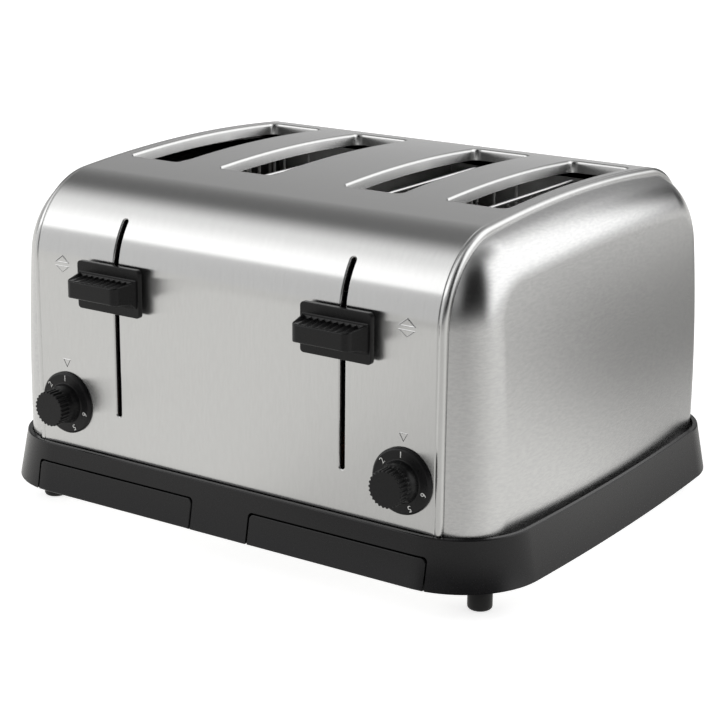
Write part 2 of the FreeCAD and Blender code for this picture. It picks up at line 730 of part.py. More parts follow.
def make_base(chassis_holes):
    """Black base moulding, with bosses for the feet and for the screws of the bottom plate."""
    form = base_body("base_form", "0", ("foot_height", RIM_TOP), "base_flare")
    recess = base_body("base_recess", "(base_flare + rim_wall)", (DECK_TOP, f"{RIM_TOP} + cut_past"))
    cavity = base_body("base_cavity", BASE_SHELL, ("foot_height - cut_past", DECK_UNDERSIDE))
    # the rim is relieved where the wrap and the end covers come near it at the corners
    stand = (DECK_TOP, f"{RIM_TOP} + cut_past")
    wrap_across = "(body_width / 2 + rim_relief_gap)"
    wrap_depth = (f"{PANEL} - rim_relief_gap", f"{BACK} + rim_relief_gap")
    wrap_relief = block("wrap_relief", (f"-{wrap_across}", wrap_across), wrap_depth, stand)
    bow_fall = "(body_depth / 2 - seam_step - cover_corner) ^ 2 / (2 * side_crown_radius)"
    cover_across = f"(side_reach - {bow_fall} + rim_relief_gap)"
    cover_reach = "(body_depth / 2 - seam_step + rim_relief_gap)"
    cover_relief = slab(
        "cover_relief", "XY", (f"-{cover_across}", cover_across), (f"-{cover_reach}", cover_reach), stand,
        "cover_corner + rim_relief_gap",
    )
    tools = [recess, cavity, wrap_relief, cover_relief]
    added = []
    for side, sign in SIDES:
        line = f"({sign} * {LEVER_LINE})"
        mouth = (f"{line} - tray_width / 2 - tray_gap", f"{line} + tray_width / 2 + tray_gap")
        mouth_depth = ("-base_depth / 2 - cut_past", f"2 * {BASE_SHELL} - base_depth / 2")
        mouth_span = ("foot_height - cut_past", "foot_height + tray_front_height + tray_gap")
        tools.append(slab(f"tray_mouth_{side}", "XZ", mouth, mouth_span, mouth_depth, "tray_front_corner"))
        half = "(tray_width / 2 - crumb_opening_margin)"
        well = (f"{line} - {half}", f"{line} + {half}")
        well_span = (f"{DECK_UNDERSIDE} - cut_past", f"{DECK_TOP} + cut_past")
        tools.append(block(f"crumb_well_{side}", well, (CHAMBER_FRONT, CHAMBER_REAR), well_span))
    bores = []
    foot_boss_span = ("foot_height", DECK_UNDERSIDE)
    bore_span = ("foot_height - cut_past", "foot_height + foot_spigot_length + foot_spigot_gap")
    bore_radius = "foot_spigot_radius + screw_clearance"
    for name, x, y in corners("foot_spacing_x", "foot_spacing_y"):
        added.append(rod(f"foot_boss_{name}", "z", (x, y), foot_boss_span, "foot_boss_radius"))
        bores.append(rod(f"foot_bore_{name}", "z", (x, y), bore_span, bore_radius))
    screws = []
    plate_holes = []
    for name, x, y in corners("foot_spacing_x", "base_screw_spacing_y"):
        boss_span = (PLATE_TOP, DECK_UNDERSIDE)
        added.append(rod(f"screw_boss_{name}", "z", (x, y), boss_span, "base_screw_boss_radius"))
        screw, hole = make_screw(f"base_screw_{name}", (x, y), "foot_height", 1, "screw_length")
        screws.append(screw)
        plate_holes.append(hole)
    solid = fuse("base_solid", cut("base_shell", form, *tools), *added)
    base = cut("base_moulding", solid, *bores, *plate_holes, *chassis_holes)
    return form, base, group("base_screws", *screws), plate_holes


def make_bottom_plate(screw_holes):
    """Steel plate that closes the base from below, cut out round the bosses of the feet."""
    blank = base_body("plate_blank", f"({BASE_SHELL} + plate_clearance)", ("foot_height", PLATE_TOP))
    cuts = list(screw_holes)
    for name, x, y in corners("foot_spacing_x", "foot_spacing_y"):
        span = ("foot_height - cut_past", f"{PLATE_TOP} + cut_past")
        cuts.append(rod(f"foot_hole_{name}", "z", (x, y), span, "foot_boss_radius + plate_clearance"))
    return cut("bottom_plate", blank, *cuts)


def make_foot(name, x, y):
    """Round foot with a small chamfer at the floor and a spigot that goes into its boss."""
    body = doc.addObject("PartDesign::Body", name)
    sketch = new_sketch(body, name + "_section", "XZ")
    polygon(sketch, (
        ("0", "0"),
        ("foot_radius - foot_chamfer", "0"),
        ("foot_radius", "foot_chamfer"),
        ("foot_radius", "foot_height"),
        ("foot_spigot_radius", "foot_height"),
        ("foot_spigot_radius", "foot_height + foot_spigot_length"),
        ("0", "foot_height + foot_spigot_length"),
    ))
    turned = body.newObject("PartDesign::Revolution", name + "_turned")
    turned.Profile = sketch
    turned.ReferenceAxis = (sketch, ["V_Axis"])
    turned.Angle = 360
    place(body, x, y)
    return body


def make_screw(name, spot, seat, way, length):
    """Screw whose head rests on a face at the height seat, and the hole that it needs."""
    tip = f"{seat} + {way} * {length}"
    crown = f"{seat} - {way} * screw_head_height"
    shank_span = (seat, tip) if way > 0 else (tip, seat)
    head_span = (crown, seat) if way > 0 else (seat, crown)
    shank = rod(name + "_shank", "z", spot, shank_span, "screw_radius")
    head = rod(name + "_head", "z", spot, head_span, "screw_head_radius")
    past = f"{seat} - {way} * cut_past"
    deep = f"{seat} + {way} * ({length} + screw_tip_gap)"
    hole_span = (past, deep) if way > 0 else (deep, past)
    hole = rod(name + "_hole", "z", spot, hole_span, "screw_radius + screw_clearance")
    return fuse(name, head, shank), hole


# Crumb trays: a steel pan behind a black front
def make_tray(side, sign, form):
    line = f"({sign} * {LEVER_LINE})"
    across = (f"{line} - tray_width / 2", f"{line} + tray_width / 2")
    blank = slab(
        f"tray_blank_{side}", "XZ", across, ("foot_height - cut_past", "foot_height + tray_front_height"),
        ("-base_depth / 2 - cut_past", TRAY_REAR), "tray_front_corner",
    )
    front = common(f"tray_front_{side}", form, blank)
    pan_low = f"({PLATE_TOP} + tray_clearance)"
    half = "(tray_width / 2 - pan_side_clearance)"
    outer = block(
        f"pan_outside_{side}", (f"{line} - {half}", f"{line} + {half}"),
        (TRAY_REAR, f"{TRAY_REAR} + pan_length"), (pan_low, f"{pan_low} + pan_height"),
    )
    inner = block(
        f"pan_inside_{side}", (f"{line} - {half} + pan_wall", f"{line} + {half} - pan_wall"),
        (f"{TRAY_REAR} + pan_wall", f"{TRAY_REAR} + pan_length - pan_wall"),
        (f"{pan_low} + pan_wall", f"{pan_low} + pan_height + cut_past"),
    )
    return front, cut(f"tray_pan_{side}", outer, inner)


# Chassis: bulkheads, side shields and the divider between the two halves
def make_chassis():
    half = "(chamber_width / 2)"
    full = (f"-{half}", half)
    foot_height = (DECK_TOP, f"{DECK_TOP} + chassis_wall")
    front_plate = block("front_plate", full, (BULKHEAD_FRONT, CHAMBER_FRONT), (DECK_TOP, CHAMBER_TOP))
    foot = block("front_foot_flange", full, (f"{BULKHEAD_FRONT} - foot_flange", CHAMBER_FRONT), foot_height)
    head_height = (f"{CHAMBER_TOP} - chassis_wall", CHAMBER_TOP)
    head = block("front_head_flange", full, (f"{BULKHEAD_FRONT} - head_flange", CHAMBER_FRONT), head_height)
    slits = []
    for name, line in SLOTS:
        slit = (f"{line} - arm_slit_width / 2", f"{line} + arm_slit_width / 2")
        reach = (f"{BULKHEAD_FRONT} - cut_past", f"{CHAMBER_FRONT} + cut_past")
        low = f"{CARRIAGE_LOW} - drop_travel - arm_slit_margin"
        high = f"{CARRIAGE_LOW} + rack_height + lift_travel + arm_slit_margin"
        slits.append(block(f"arm_slit_{name}", slit, reach, (low, high)))
    rear_plate = block("rear_plate", full, (CHAMBER_REAR, BULKHEAD_REAR), (DECK_TOP, CHAMBER_TOP))
    rear_foot = block("rear_foot_flange", full, (CHAMBER_REAR, f"{BULKHEAD_REAR} + rear_flange"), foot_height)
    screws = []
    holes = []
    for end, depth in (
        ("front", f"{BULKHEAD_FRONT} - foot_flange + chassis_screw_inset"),
        ("rear", f"{BULKHEAD_REAR} + rear_flange - chassis_screw_inset"),
    ):
        for side, sign in SIDES:
            spot = (f"{sign} * chassis_screw_across", depth)
            seat = f"({DECK_TOP} + chassis_wall)"
            screw, hole = make_screw(f"chassis_screw_{end}_{side}", spot, seat, -1, "chassis_screw_length")
            screws.append(screw)
            holes.append(hole)
    front = cut("front_bulkhead", fuse("front_sheet", front_plate, foot, head), *slits, *holes)
    rear = cut("rear_bulkhead", fuse("rear_sheet", rear_plate, rear_foot), *holes)
    depth = (CHAMBER_FRONT, CHAMBER_REAR)
    height = (DECK_TOP, CHAMBER_TOP)
    shields = []
    for side, sign in SIDES:
        span = (f"{sign} * {half}", f"{sign} * ({half} - chassis_wall)")
        shields.append(block(f"heat_shield_{side}", span[::-1] if sign > 0 else span, depth, height))
    divider = block("centre_divider", ("-chassis_wall / 2", "chassis_wall / 2"), depth, height)
    return (front, rear, *shields, divider, group("chassis_screws", *screws)), holes


# Heater boards with their ribbon windings
def make_heaters(side, sign):
    boards = []
    ribbons = []
    low = f"({DECK_TOP} + heater_low)"
    high = f"({DECK_TOP} + heater_low + heater_height)"
    places = (
        ("inner", f"({sign} * (inner_slot - heater_offset))"),
        ("middle", f"({sign} * {LEVER_LINE})"),
        ("outer", f"({sign} * (inner_slot + slot_pitch + heater_offset))"),
    )
    count = int(number("ribbon_count"))
    for name, line in places:
        across = (f"{line} - heater_wall / 2", f"{line} + heater_wall / 2")
        board = block(f"heater_board_{name}_{side}", across, (CHAMBER_FRONT, CHAMBER_REAR), (low, high))
        turns = []
        for i in range(count):
            middle = f"slot_setback + ({i} - (ribbon_count - 1) / 2) * ribbon_pitch"
            loop_across = (f"{across[0]} - ribbon_thickness", f"{across[1]} + ribbon_thickness")
            loop_depth = (f"{middle} - ribbon_width / 2", f"{middle} + ribbon_width / 2")
            loop_height = (f"{low} - ribbon_thickness", f"{high} + ribbon_thickness")
            turns.append(block(f"ribbon_{name}_{side}_{i}", loop_across, loop_depth, loop_height))
        ribbons.append(cut(f"ribbons_{name}_{side}", fuse(f"ribbon_loops_{name}_{side}", *turns), board))
        boards.append(board)
    return boards, group(f"heater_ribbons_{side}", *ribbons)


# Wire guards that hold the bread off the heaters
def make_guard(name, line):
    """Frame of one bent wire on a lower rail, with thinner uprights between its ends."""
    low = f"({DECK_TOP} + guard_low)"
    high = f"({DECK_TOP} + guard_top)"
    start = "(slot_setback - guard_length / 2)"
    end = "(slot_setback + guard_length / 2)"
    shoulder = f"({high} - guard_bend)"
    upper_span = (f"{start} + guard_bend", f"{end} - guard_bend")
    wires = [
        rod(name + "_lower", "y", (line, low), (CHAMBER_FRONT, CHAMBER_REAR), "guard_lower_radius"),
        rod(name + "_upper", "y", (line, high), upper_span, "guard_wire_radius"),
    ]
    for corner, depth, way in (("front", start, 1), ("rear", end, -1)):
        wires.append(rod(f"{name}_{corner}", "z", (line, depth), (low, shoulder), "guard_wire_radius"))
        bend = doc.addObject("Part::Torus", f"{name}_{corner}_bend")
        bind(bend, Radius1="guard_bend", Radius2="guard_wire_radius", Angle3="90")
        columns = (FreeCAD.Vector(0, -way, 0), FreeCAD.Vector(0, 0, 1), FreeCAD.Vector(-way, 0, 0))
        bend.Placement = FreeCAD.Placement(FreeCAD.Vector(), FreeCAD.Rotation(*columns, "ZXY"))
        place(bend, line, f"{depth} + {way} * guard_bend", shoulder)
        wires.append(bend)
    for i in range(1, int(number("guard_upright_count")) - 1):
        depth = f"{start} + {i} * guard_length / (guard_upright_count - 1)"
        wires.append(rod(f"{name}_upright_{i}", "z", (line, depth), (low, high), "guard_upright_radius"))
    return fuse(name, *wires)


def make_guards(side, sign):
    frames = []
    for slot, pitches in (("near", 0), ("far", 1)):
        for face, way in (("inner", -1), ("outer", 1)):
            line = f"({sign} * (inner_slot + {pitches} * slot_pitch) + {way} * guard_offset)"
            frames.append(make_guard(f"guard_{slot}_{face}_{side}", line))
    return group(f"bread_guards_{side}", *frames)


# Carriage, bread racks, lever arm, armature and guide rods of the right side
def make_carriage():
    line = LEVER_LINE
    height = (CARRIAGE_LOW, CARRIAGE_HIGH)
    wide = (f"{line} - carriage_width / 2", f"{line} + carriage_width / 2")
    parts = [block("carriage_plate", wide, (CARRIAGE_FRONT, CARRIAGE_REAR), height)]
    bores = []
    rods = []
    for name, way in (("inner", -1), ("outer", 1)):
        spot = (f"{line} + {way} * rod_spacing / 2", ROD_LINE)
        parts.append(rod(f"sleeve_{name}", "z", spot, height, SLEEVE_RADIUS))
        web = (f"{spot[0]} - web_width / 2", f"{spot[0]} + web_width / 2")
        parts.append(block(f"sleeve_web_{name}", web, (ROD_LINE, CARRIAGE_FRONT), height))
        past = (f"{CARRIAGE_LOW} - cut_past", f"{CARRIAGE_HIGH} + cut_past")
        bores.append(rod(f"sleeve_bore_{name}", "z", spot, past, "rod_radius + running_clearance"))
        rod_span = (f"{DECK_TOP} + chassis_wall", f"{CHAMBER_TOP} - chassis_wall")
        rods.append(rod(f"guide_rod_{name}", "z", spot, rod_span, "rod_radius"))
    shelf = (f"{MAGNET_LINE} - armature_width / 2", f"{MAGNET_LINE} + armature_width / 2")
    shelf_height = (CARRIAGE_HIGH, f"{CARRIAGE_HIGH} + carriage_wall")
    parts.append(block("armature_shelf", shelf, (MAGNET_FRONT, CARRIAGE_REAR), shelf_height))
    shelf_bore_span = (CARRIAGE_HIGH, f"{CARRIAGE_HIGH} + cut_past")
    shelf_spot = (f"{line} - rod_spacing / 2", ROD_LINE)
    bores.append(rod("shelf_bore", "z", shelf_spot, shelf_bore_span, "rod_radius + shelf_rod_gap"))
    spring_line = f"({line} + spring_offset)"
    seat = (f"{spring_line} - spring_radius", f"{spring_line} + spring_radius")
    seat_depth = (f"{ROD_LINE} - spring_radius", CARRIAGE_FRONT)
    seat_height = (f"{CARRIAGE_HIGH} - carriage_wall", CARRIAGE_HIGH)
    parts.append(block("spring_seat", seat, seat_depth, seat_height))
    carriage = cut("carriage_right", fuse("carriage_solid", *parts), *bores)
    armature_height = (f"{CARRIAGE_HIGH} - armature_wall", CARRIAGE_HIGH)
    armature = block("armature_right", shelf, (MAGNET_FRONT, MAGNET_REAR), armature_height)
    spring_span = (CARRIAGE_HIGH, f"{CHAMBER_TOP} - chassis_wall")
    coil = rod("spring_outside", "z", (spring_line, ROD_LINE), spring_span, "spring_radius")
    bore_span = (f"{CARRIAGE_HIGH} - cut_past", f"{CHAMBER_TOP} + cut_past")
    bore = rod("spring_inside", "z", (spring_line, ROD_LINE), bore_span, "spring_bore_radius")
    spring = cut("return_spring_right", coil, bore)
    return carriage, armature, spring, group("guide_rods_right", *rods)


def make_rack(name, line):
    """Bread rack: an upright rail under the slot with short wires across its top."""
    rail_across = (f"{line} - rack_wall / 2", f"{line} + rack_wall / 2")
    rail_height = (CARRIAGE_LOW, f"{CARRIAGE_LOW} + rack_height")
    rail = block(name + "_rail", rail_across, (CARRIAGE_REAR, f"{CHAMBER_REAR} - rack_inset"), rail_height)
    count = int(number("rack_wire_count"))
    wires = []
    for i in range(count):
        depth = f"slot_setback + ({i} / (rack_wire_count - 1) - 0.5) * (slot_length - 2 * rack_inset)"
        level = f"{CARRIAGE_LOW} + rack_height - rack_wire_radius"
        reach = (f"{line} - rack_wire_length / 2", f"{line} + rack_wire_length / 2")
        wires.append(rod(f"{name}_wire_{i}", "x", (depth, level), reach, "rack_wire_radius"))
    return fuse(name, rail, *wires)


def make_lever():
    """Lever arm and lever knob of the right side."""
    line = LEVER_LINE
    arm_across = (f"{line} - lever_arm_wall / 2", f"{line} + lever_arm_wall / 2")
    arm_height = (f"{LEVER} - lever_arm_height / 2", f"{LEVER} + lever_arm_height / 2")
    arm_tip = f"({PANEL} - lever_reach + lever_arm_setback)"
    arm = block("lever_arm_right", arm_across, (arm_tip, CARRIAGE_FRONT), arm_height)
    plate = slab(
        "lever_plate", "XZ",
        (f"{line} - lever_plate_width / 2", f"{line} + lever_plate_width / 2"),
        (f"{LEVER} - lever_plate_height / 2", f"{LEVER} + lever_plate_height / 2"),
        (f"{PLATE_FRONT} - lever_plate_wall", PLATE_FRONT), "lever_plate_corner",
    )
    side = doc.addObject("PartDesign::Body", "grip_side")
    side_sketch = new_sketch(side, "grip_side_outline", "YZ")
    root = "-(lever_gap + lever_plate_wall)"
    top = "(grip_rise + grip_height / 2)"
    low = "(grip_rise - grip_height / 2)"
    polygon(side_sketch, (
        (root, "-grip_root_drop"),
        (f"{root} - grip_under_reach", f"{low} - grip_edge"),
        ("grip_edge - lever_reach", low),
        ("-lever_reach", f"{low} + grip_edge"),
        ("-lever_reach", f"{top} - grip_edge"),
        ("grip_edge - lever_reach", top),
        (f"{root} - grip_fillet_reach", f"{top} + grip_top_fall"),
        (f"{root} - grip_fillet_step", f"{top} + grip_top_fall + grip_fillet_step"),
        (root, "grip_root_rise"),
    ))
    padded(side, "grip_side_pad", side_sketch, "grip_root_width")
    place(side, f"{line} - grip_root_width / 2", PANEL, LEVER)
    plan = doc.addObject("PartDesign::Body", "grip_plan")
    plan_sketch = new_sketch(plan, "grip_plan_outline", "XY")
    polygon(plan_sketch, (
        ("-grip_root_width / 2", root),
        ("-grip_front_width / 2", "grip_corner - lever_reach"),
        ("grip_corner_step - grip_front_width / 2", "grip_corner_step - lever_reach"),
        ("grip_corner - grip_front_width / 2", "-lever_reach"),
        ("grip_front_width / 2 - grip_corner", "-lever_reach"),
        ("grip_front_width / 2 - grip_corner_step", "grip_corner_step - lever_reach"),
        ("grip_front_width / 2", "grip_corner - lever_reach"),
        ("grip_root_width / 2", root),
    ))
    padded(plan, "grip_plan_pad", plan_sketch, "lever_plate_height")
    place(plan, line, PANEL, f"{LEVER} - lever_plate_height / 2")
    grip = common("grip_form", side, plan)
    count = int(number("groove_count"))
    grooves = []
    for i in range(count):
        spot = f"{line} + ({i} - (groove_count - 1) / 2) * groove_pitch"
        level = f"{LEVER} + {top} + grip_top_fall / 2 + groove_radius - groove_depth"
        reach = (f"{PANEL} - lever_reach - cut_past", f"{PANEL} + {root} - groove_root")
        grooves.append(rod(f"grip_groove_{i}", "y", (spot, level), reach, "groove_radius"))
    pocket = block("lever_pocket", arm_across, (arm_tip, f"{PLATE_FRONT} + cut_past"), arm_height)
    return arm, cut("lever_knob_right", fuse("lever_knob_solid", plate, grip), pocket, *grooves)


def make_magnet():
    """Electromagnet that holds the lowered carriage by its armature."""
    centre = (MAGNET_LINE, f"({MAGNET_REAR} + {MAGNET_FRONT}) / 2")
    low = f"({DECK_TOP} + chassis_wall)"
    high = f"({CARRIAGE_HIGH} - armature_wall - drop_travel - magnet_gap)"
    half = "(armature_width / 2)"
    yoke = block("magnet_yoke", (f"{MAGNET_LINE} - {half}", f"{MAGNET_LINE} + {half}"),
                 (MAGNET_FRONT, MAGNET_REAR), (low, f"{low} + yoke_wall"))
    pole = rod("magnet_pole", "z", centre, (low, high), "pole_radius")
    coil = rod("magnet_coil", "z", centre, (f"{low} + yoke_wall", f"{high} - coil_end_gap"), "coil_radius")
    return fuse("electromagnet_right", yoke, pole, coil)


def make_browning_control():
    """Browning knob, its shaft, its potentiometer and the control board of the right side."""
    body = doc.addObject("PartDesign::Body", "browning_knob_right")
    section = new_sketch(body, "knob_section", "XY")
    bore = "(shaft_radius + shaft_play)"
    floor = "(shaft_seat - knob_reach)"
    polygon(section, (
        ("0", "-knob_reach"),
        ("knob_grip_radius - knob_edge", "-knob_reach"),
        ("knob_grip_radius", "knob_edge - knob_reach"),
        ("knob_grip_radius", "-knob_grip_start"),
        ("hub_waist_radius", "-hub_waist"),
        ("hub_radius", "-dial_face - hub_lip"),
        ("hub_radius + hub_lip", "-dial_face"),
        ("dial_radius - dial_bevel", "-dial_face"),
        ("dial_radius", "dial_bevel - dial_face"),
        ("dial_radius", "-knob_gap"),
        (bore, "-knob_gap"),
        (bore, floor),
        ("0", floor),
    ))
    turned = body.newObject("PartDesign::Revolution", "knob_turned")
    turned.Profile = section
    turned.ReferenceAxis = (section, ["V_Axis"])
    turned.Angle = 360
    flute_sketch = new_sketch(body, "knob_flute_outline", "XZ")
    bind(flute_sketch, AttachmentOffset__Base__z="knob_reach + cut_past")
    circle = Part.Circle(FreeCAD.Vector(0, number("knob_grip_radius + flute_radius / 2"), 0),
                         FreeCAD.Vector(0, 0, 1), number("flute_radius"))
    ring = flute_sketch.addGeometry(circle)
    flute_sketch.addConstraint(Sketcher.Constraint("PointOnObject", ring, 3, -2))
    dimension(flute_sketch, "flute_radius", "Radius", ring)
    dimension(flute_sketch, "knob_grip_radius + flute_radius / 2", "DistanceY", -1, 1, ring, 3)
    doc.recompute()
    flute = body.newObject("PartDesign::Pocket", "knob_flute")
    flute.Profile = flute_sketch
    bind(flute, Length="flute_length + cut_past")
    pattern = body.newObject("PartDesign::PolarPattern", "knob_flutes")
    pattern.Originals = [flute]
    pattern.Axis = (flute_sketch, ["N_Axis"])
    pattern.Angle = 360
    bind(pattern, Occurrences="flute_count")
    body.Tip = pattern
    place(body, "knob_across", PANEL, KNOB)
    spot = ("knob_across", KNOB)
    shaft_rear = f"({BOARD_REAR} - board_thickness - pot_floor)"
    shaft = rod("pot_shaft_right", "y", spot, (f"{PANEL} + {floor}", shaft_rear), "shaft_radius")
    board_front = f"({BOARD_REAR} - board_thickness)"
    bush_rear = f"({PANEL_INSIDE} + pot_bush_length)"
    case = rod("pot_case", "y", spot, (bush_rear, board_front), "pot_radius")
    bush = rod("pot_bush", "y", spot, (PANEL_INSIDE, bush_rear), "pot_bush_radius")
    hole_span = (f"{PANEL_INSIDE} - cut_past", shaft_rear)
    hole = rod("pot_bore", "y", spot, hole_span, "shaft_radius + running_clearance")
    pot = cut("potentiometer_right", fuse("pot_solid", case, bush), hole)
    half = "(board_width / 2)"
    board = block("control_board_right", (f"knob_across - {half}", f"knob_across + {half}"),
                  (board_front, BOARD_REAR), (DECK_TOP, f"{DECK_TOP} + board_height"))
    return body, shaft, pot, board


def make_supply():
    """Terminal block on the rear bulkhead and the cord inlet bush in the back panel."""
    half = "(terminal_width / 2)"
    block_depth = (BULKHEAD_REAR, f"{BULKHEAD_REAR} + terminal_depth")
    low = f"({DECK_TOP} + terminal_low)"
    terminal = block("terminal_block", (f"-{half}", half), block_depth, (low, f"{low} + terminal_height"))
    spot = ("inlet_across", INLET)
    neck = rod("inlet_neck", "y", spot, (f"{BACK} - inlet_body_length", BACK), "inlet_body_radius")
    flange = rod("inlet_flange", "y", spot, (BACK, f"{BACK} + inlet_flange_wall"), "inlet_flange_radius")
    past = (f"{BACK} - inlet_body_length - cut_past", f"{BACK} + inlet_flange_wall + cut_past")
    bore = rod("inlet_bore", "y", spot, past, "inlet_bore_radius")
    return terminal, cut("cord_inlet_bush", fuse("inlet_solid", neck, flange), bore)


# All nodes, by name
nodes = {}


def keep(*items):
    for item in items:
        nodes[item.Name] = item


chassis, chassis_holes = make_chassis()
base_form, base, base_screws, plate_holes = make_base(chassis_holes)
keep(make_wrap(), *make_end_covers(), base, make_bottom_plate(plate_holes), base_screws, *chassis)
for name, x, y in corners("foot_spacing_x", "foot_spacing_y"):
    keep(make_foot(f"foot_{name}", x, y))
for side, sign in SIDES:
    keep(*make_tray(side, sign, base_form), make_tray_guides(side, sign))
for side, sign in SIDES:
    boards, ribbons = make_heaters(side, sign)
    keep(*boards, ribbons, make_guards(side, sign))
for name, line in SLOTS:
    keep(make_rack(f"bread_rack_{name}", line))
for item in (*make_carriage(), *make_lever(), make_magnet(), *make_browning_control()):
    keep(item, mirrored(item.Name.replace("_right", "_left"), item))
keep(*make_supply())
doc.recompute()

# Check the model and write one file for each node
faults = [item.Name for item in doc.Objects if "Invalid" in item.State or "Error" in item.State]
if faults:
    raise RuntimeError("these objects failed: " + ", ".join(faults))
for name, item in nodes.items():
    item.Label = name
    if item.Shape.isNull() or not item.Shape.isValid() or not item.Shape.Solids:
        raise RuntimeError(name + " is not a valid solid")
os.makedirs("parts", exist_ok=True)
for name, item in nodes.items():
    item.Shape.exportStep(f"parts/{name}.step")
print(len(nodes), "nodes written")
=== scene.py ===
"""Looks of the commercial toaster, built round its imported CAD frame.

Metres, +Z up, front towards -Y, +X right.
"""

import json
from math import acos, asin, atan2, copysign, cos, degrees, hypot, pi, radians, sin, sqrt

import bmesh
import bpy
from mathutils import Matrix, Vector
from mathutils.geometry import delaunay_2d_cdt


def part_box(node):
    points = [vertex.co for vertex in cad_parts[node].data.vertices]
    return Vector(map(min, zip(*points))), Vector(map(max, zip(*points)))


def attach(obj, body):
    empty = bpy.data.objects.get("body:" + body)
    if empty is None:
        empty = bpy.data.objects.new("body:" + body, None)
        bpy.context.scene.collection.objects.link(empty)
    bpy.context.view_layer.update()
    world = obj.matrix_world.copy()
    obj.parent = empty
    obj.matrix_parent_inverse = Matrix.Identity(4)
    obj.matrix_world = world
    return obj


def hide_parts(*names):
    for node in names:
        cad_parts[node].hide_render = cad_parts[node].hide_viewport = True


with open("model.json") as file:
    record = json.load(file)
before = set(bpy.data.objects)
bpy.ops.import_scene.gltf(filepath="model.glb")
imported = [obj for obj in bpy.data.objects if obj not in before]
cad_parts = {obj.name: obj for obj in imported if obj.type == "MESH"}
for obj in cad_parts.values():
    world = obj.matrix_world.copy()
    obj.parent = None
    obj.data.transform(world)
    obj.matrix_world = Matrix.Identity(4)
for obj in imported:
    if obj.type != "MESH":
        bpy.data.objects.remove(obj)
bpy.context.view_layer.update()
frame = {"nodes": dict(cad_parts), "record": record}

MM = 0.001
LEFT, RIGHT = -1, 1
SIDES = (("left", LEFT), ("right", RIGHT))


# Nodes of a material
class Nodes:
    """A material's or the world's node tree, with short ways to add to it."""

    def __init__(self, owner):
        owner.use_nodes = True
        self.tree = owner.node_tree
        self.tree.nodes.clear()

    def add(self, kind, inputs=None, **settings):
        node = self.tree.nodes.new("ShaderNode" + kind)
        for key, value in settings.items():
            setattr(node, key, value)
        for key, value in (inputs or {}).items():
            self.feed(node.inputs[key], value)
        return node

    def feed(self, socket, value):
        if isinstance(value, bpy.types.NodeSocket):
            self.tree.links.new(value, socket)
        else:
            socket.default_value = value

    def maths(self, operation, *values):
        return self.add("Math", dict(enumerate(values)), operation=operation).outputs[0]

    def vector(self, operation, *values):
        return self.add("VectorMath", dict(enumerate(values)), operation=operation).outputs[0]

    def ramp(self, value, low, high, start=0.0, end=1.0, kind="LINEAR"):
        """From start to end as a value goes from low to high, held outside them."""
        inputs = {"Value": value, "From Min": low, "From Max": high, "To Min": start, "To Max": end}
        return self.add("MapRange", inputs, interpolation_type=kind).outputs["Result"]

    def step(self, *values):
        """Ramp with soft ends."""
        return self.ramp(*values, kind="SMOOTHSTEP")

    def blend(self, factor, first, second):
        inputs = {"Factor": factor, "A": first, "B": second}
        return self.add("Mix", inputs, data_type="FLOAT").outputs[0]

    def fade(self, value, low, high, first, second):
        """From a first to a second input as a value goes from low to high."""
        return self.blend(self.step(value, low, high), first, second)

    def bearing(self, x, y):
        """Degrees round from the front towards the right."""
        turn = self.maths("ARCTAN2", x, self.maths("MULTIPLY", y, -1.0))
        return self.maths("MULTIPLY", turn, degrees(1))

    def noise(self, place, scale, detail=2.0, roughness=0.5, stretch=(1.0, 1.0, 1.0)):
        """Noise along object coordinates, stretched by a scale on each axis."""
        spot = self.add("Mapping", {"Vector": place, "Scale": stretch}).outputs[0]
        inputs = {"Vector": spot, "Scale": scale, "Detail": detail, "Roughness": roughness}
        return self.add("TexNoise", inputs).outputs["Fac"]

    def colours(self, factor, first, second):
        inputs = {"Factor": factor, "A": (*first, 1.0), "B": (*second, 1.0)}
        return self.add("Mix", inputs, data_type="RGBA").outputs["Result"]

    def bump(self, height, distance, strength, normal=None):
        inputs = {"Height": height, "Distance": distance, "Strength": strength}
        if normal is not None:
            inputs["Normal"] = normal
        return self.add("Bump", inputs).outputs[0]

    def place(self):
        return self.add("TexCoord").outputs["Object"]

    def shade(self, **inputs):
        """Principled surface; names have underscores for spaces."""
        named = {key.replace("_", " "): value for key, value in inputs.items()}
        shader = self.add("BsdfPrincipled", named)
        self.add("OutputMaterial", {"Surface": shader.outputs[0]})


MATERIALS = {}


def material(name):
    """Nodes of a new material, which is kept under its name."""
    MATERIALS[name] = bpy.data.materials.new(name)
    return Nodes(MATERIALS[name])


# Steels
STEEL = (0.60, 0.60, 0.595)
# flecks are coarser and shorter than the lines
FLECK_GRAIN, FLECK_SHORTNESS = 0.45, 14
LINE_DEPTH, FLECK_DEPTH = 0.01 * MM, 0.02 * MM
ROUGHNESS_RANGE = 0.05


def brushed_steel(name, dark, roughness, spread, grain, stretch, relief, tangent):
    """Steel with fine lines, long where the stretch is small, and flecks with some relief."""
    n = material(name)
    place = n.place()
    flecked = [grain * FLECK_GRAIN * min(1.0, v * FLECK_SHORTNESS) for v in stretch]
    lines = n.noise(place, scale=1.0, detail=3.0, roughness=0.65, stretch=[grain * v for v in stretch])
    flecks = n.noise(place, scale=1.0, detail=2.0, roughness=0.6, stretch=flecked)
    rough = n.maths("MULTIPLY_ADD", lines, ROUGHNESS_RANGE, roughness - ROUGHNESS_RANGE / 2)
    fine = n.bump(lines, LINE_DEPTH, strength=0.2)
    n.shade(Base_Color=n.colours(n.step(flecks, 0.3, 0.7), dark, STEEL), Metallic=1.0, Roughness=rough,
            Anisotropic=spread, Tangent=tangent(n), Normal=n.bump(flecks, FLECK_DEPTH, relief, fine))


def across_body(n):
    """Tangent of the wrap, whose lines run from its foot over its top."""
    return n.add("CombineXYZ", {"X": 1.0, "Y": 0.0, "Z": 0.0}).outputs[0]


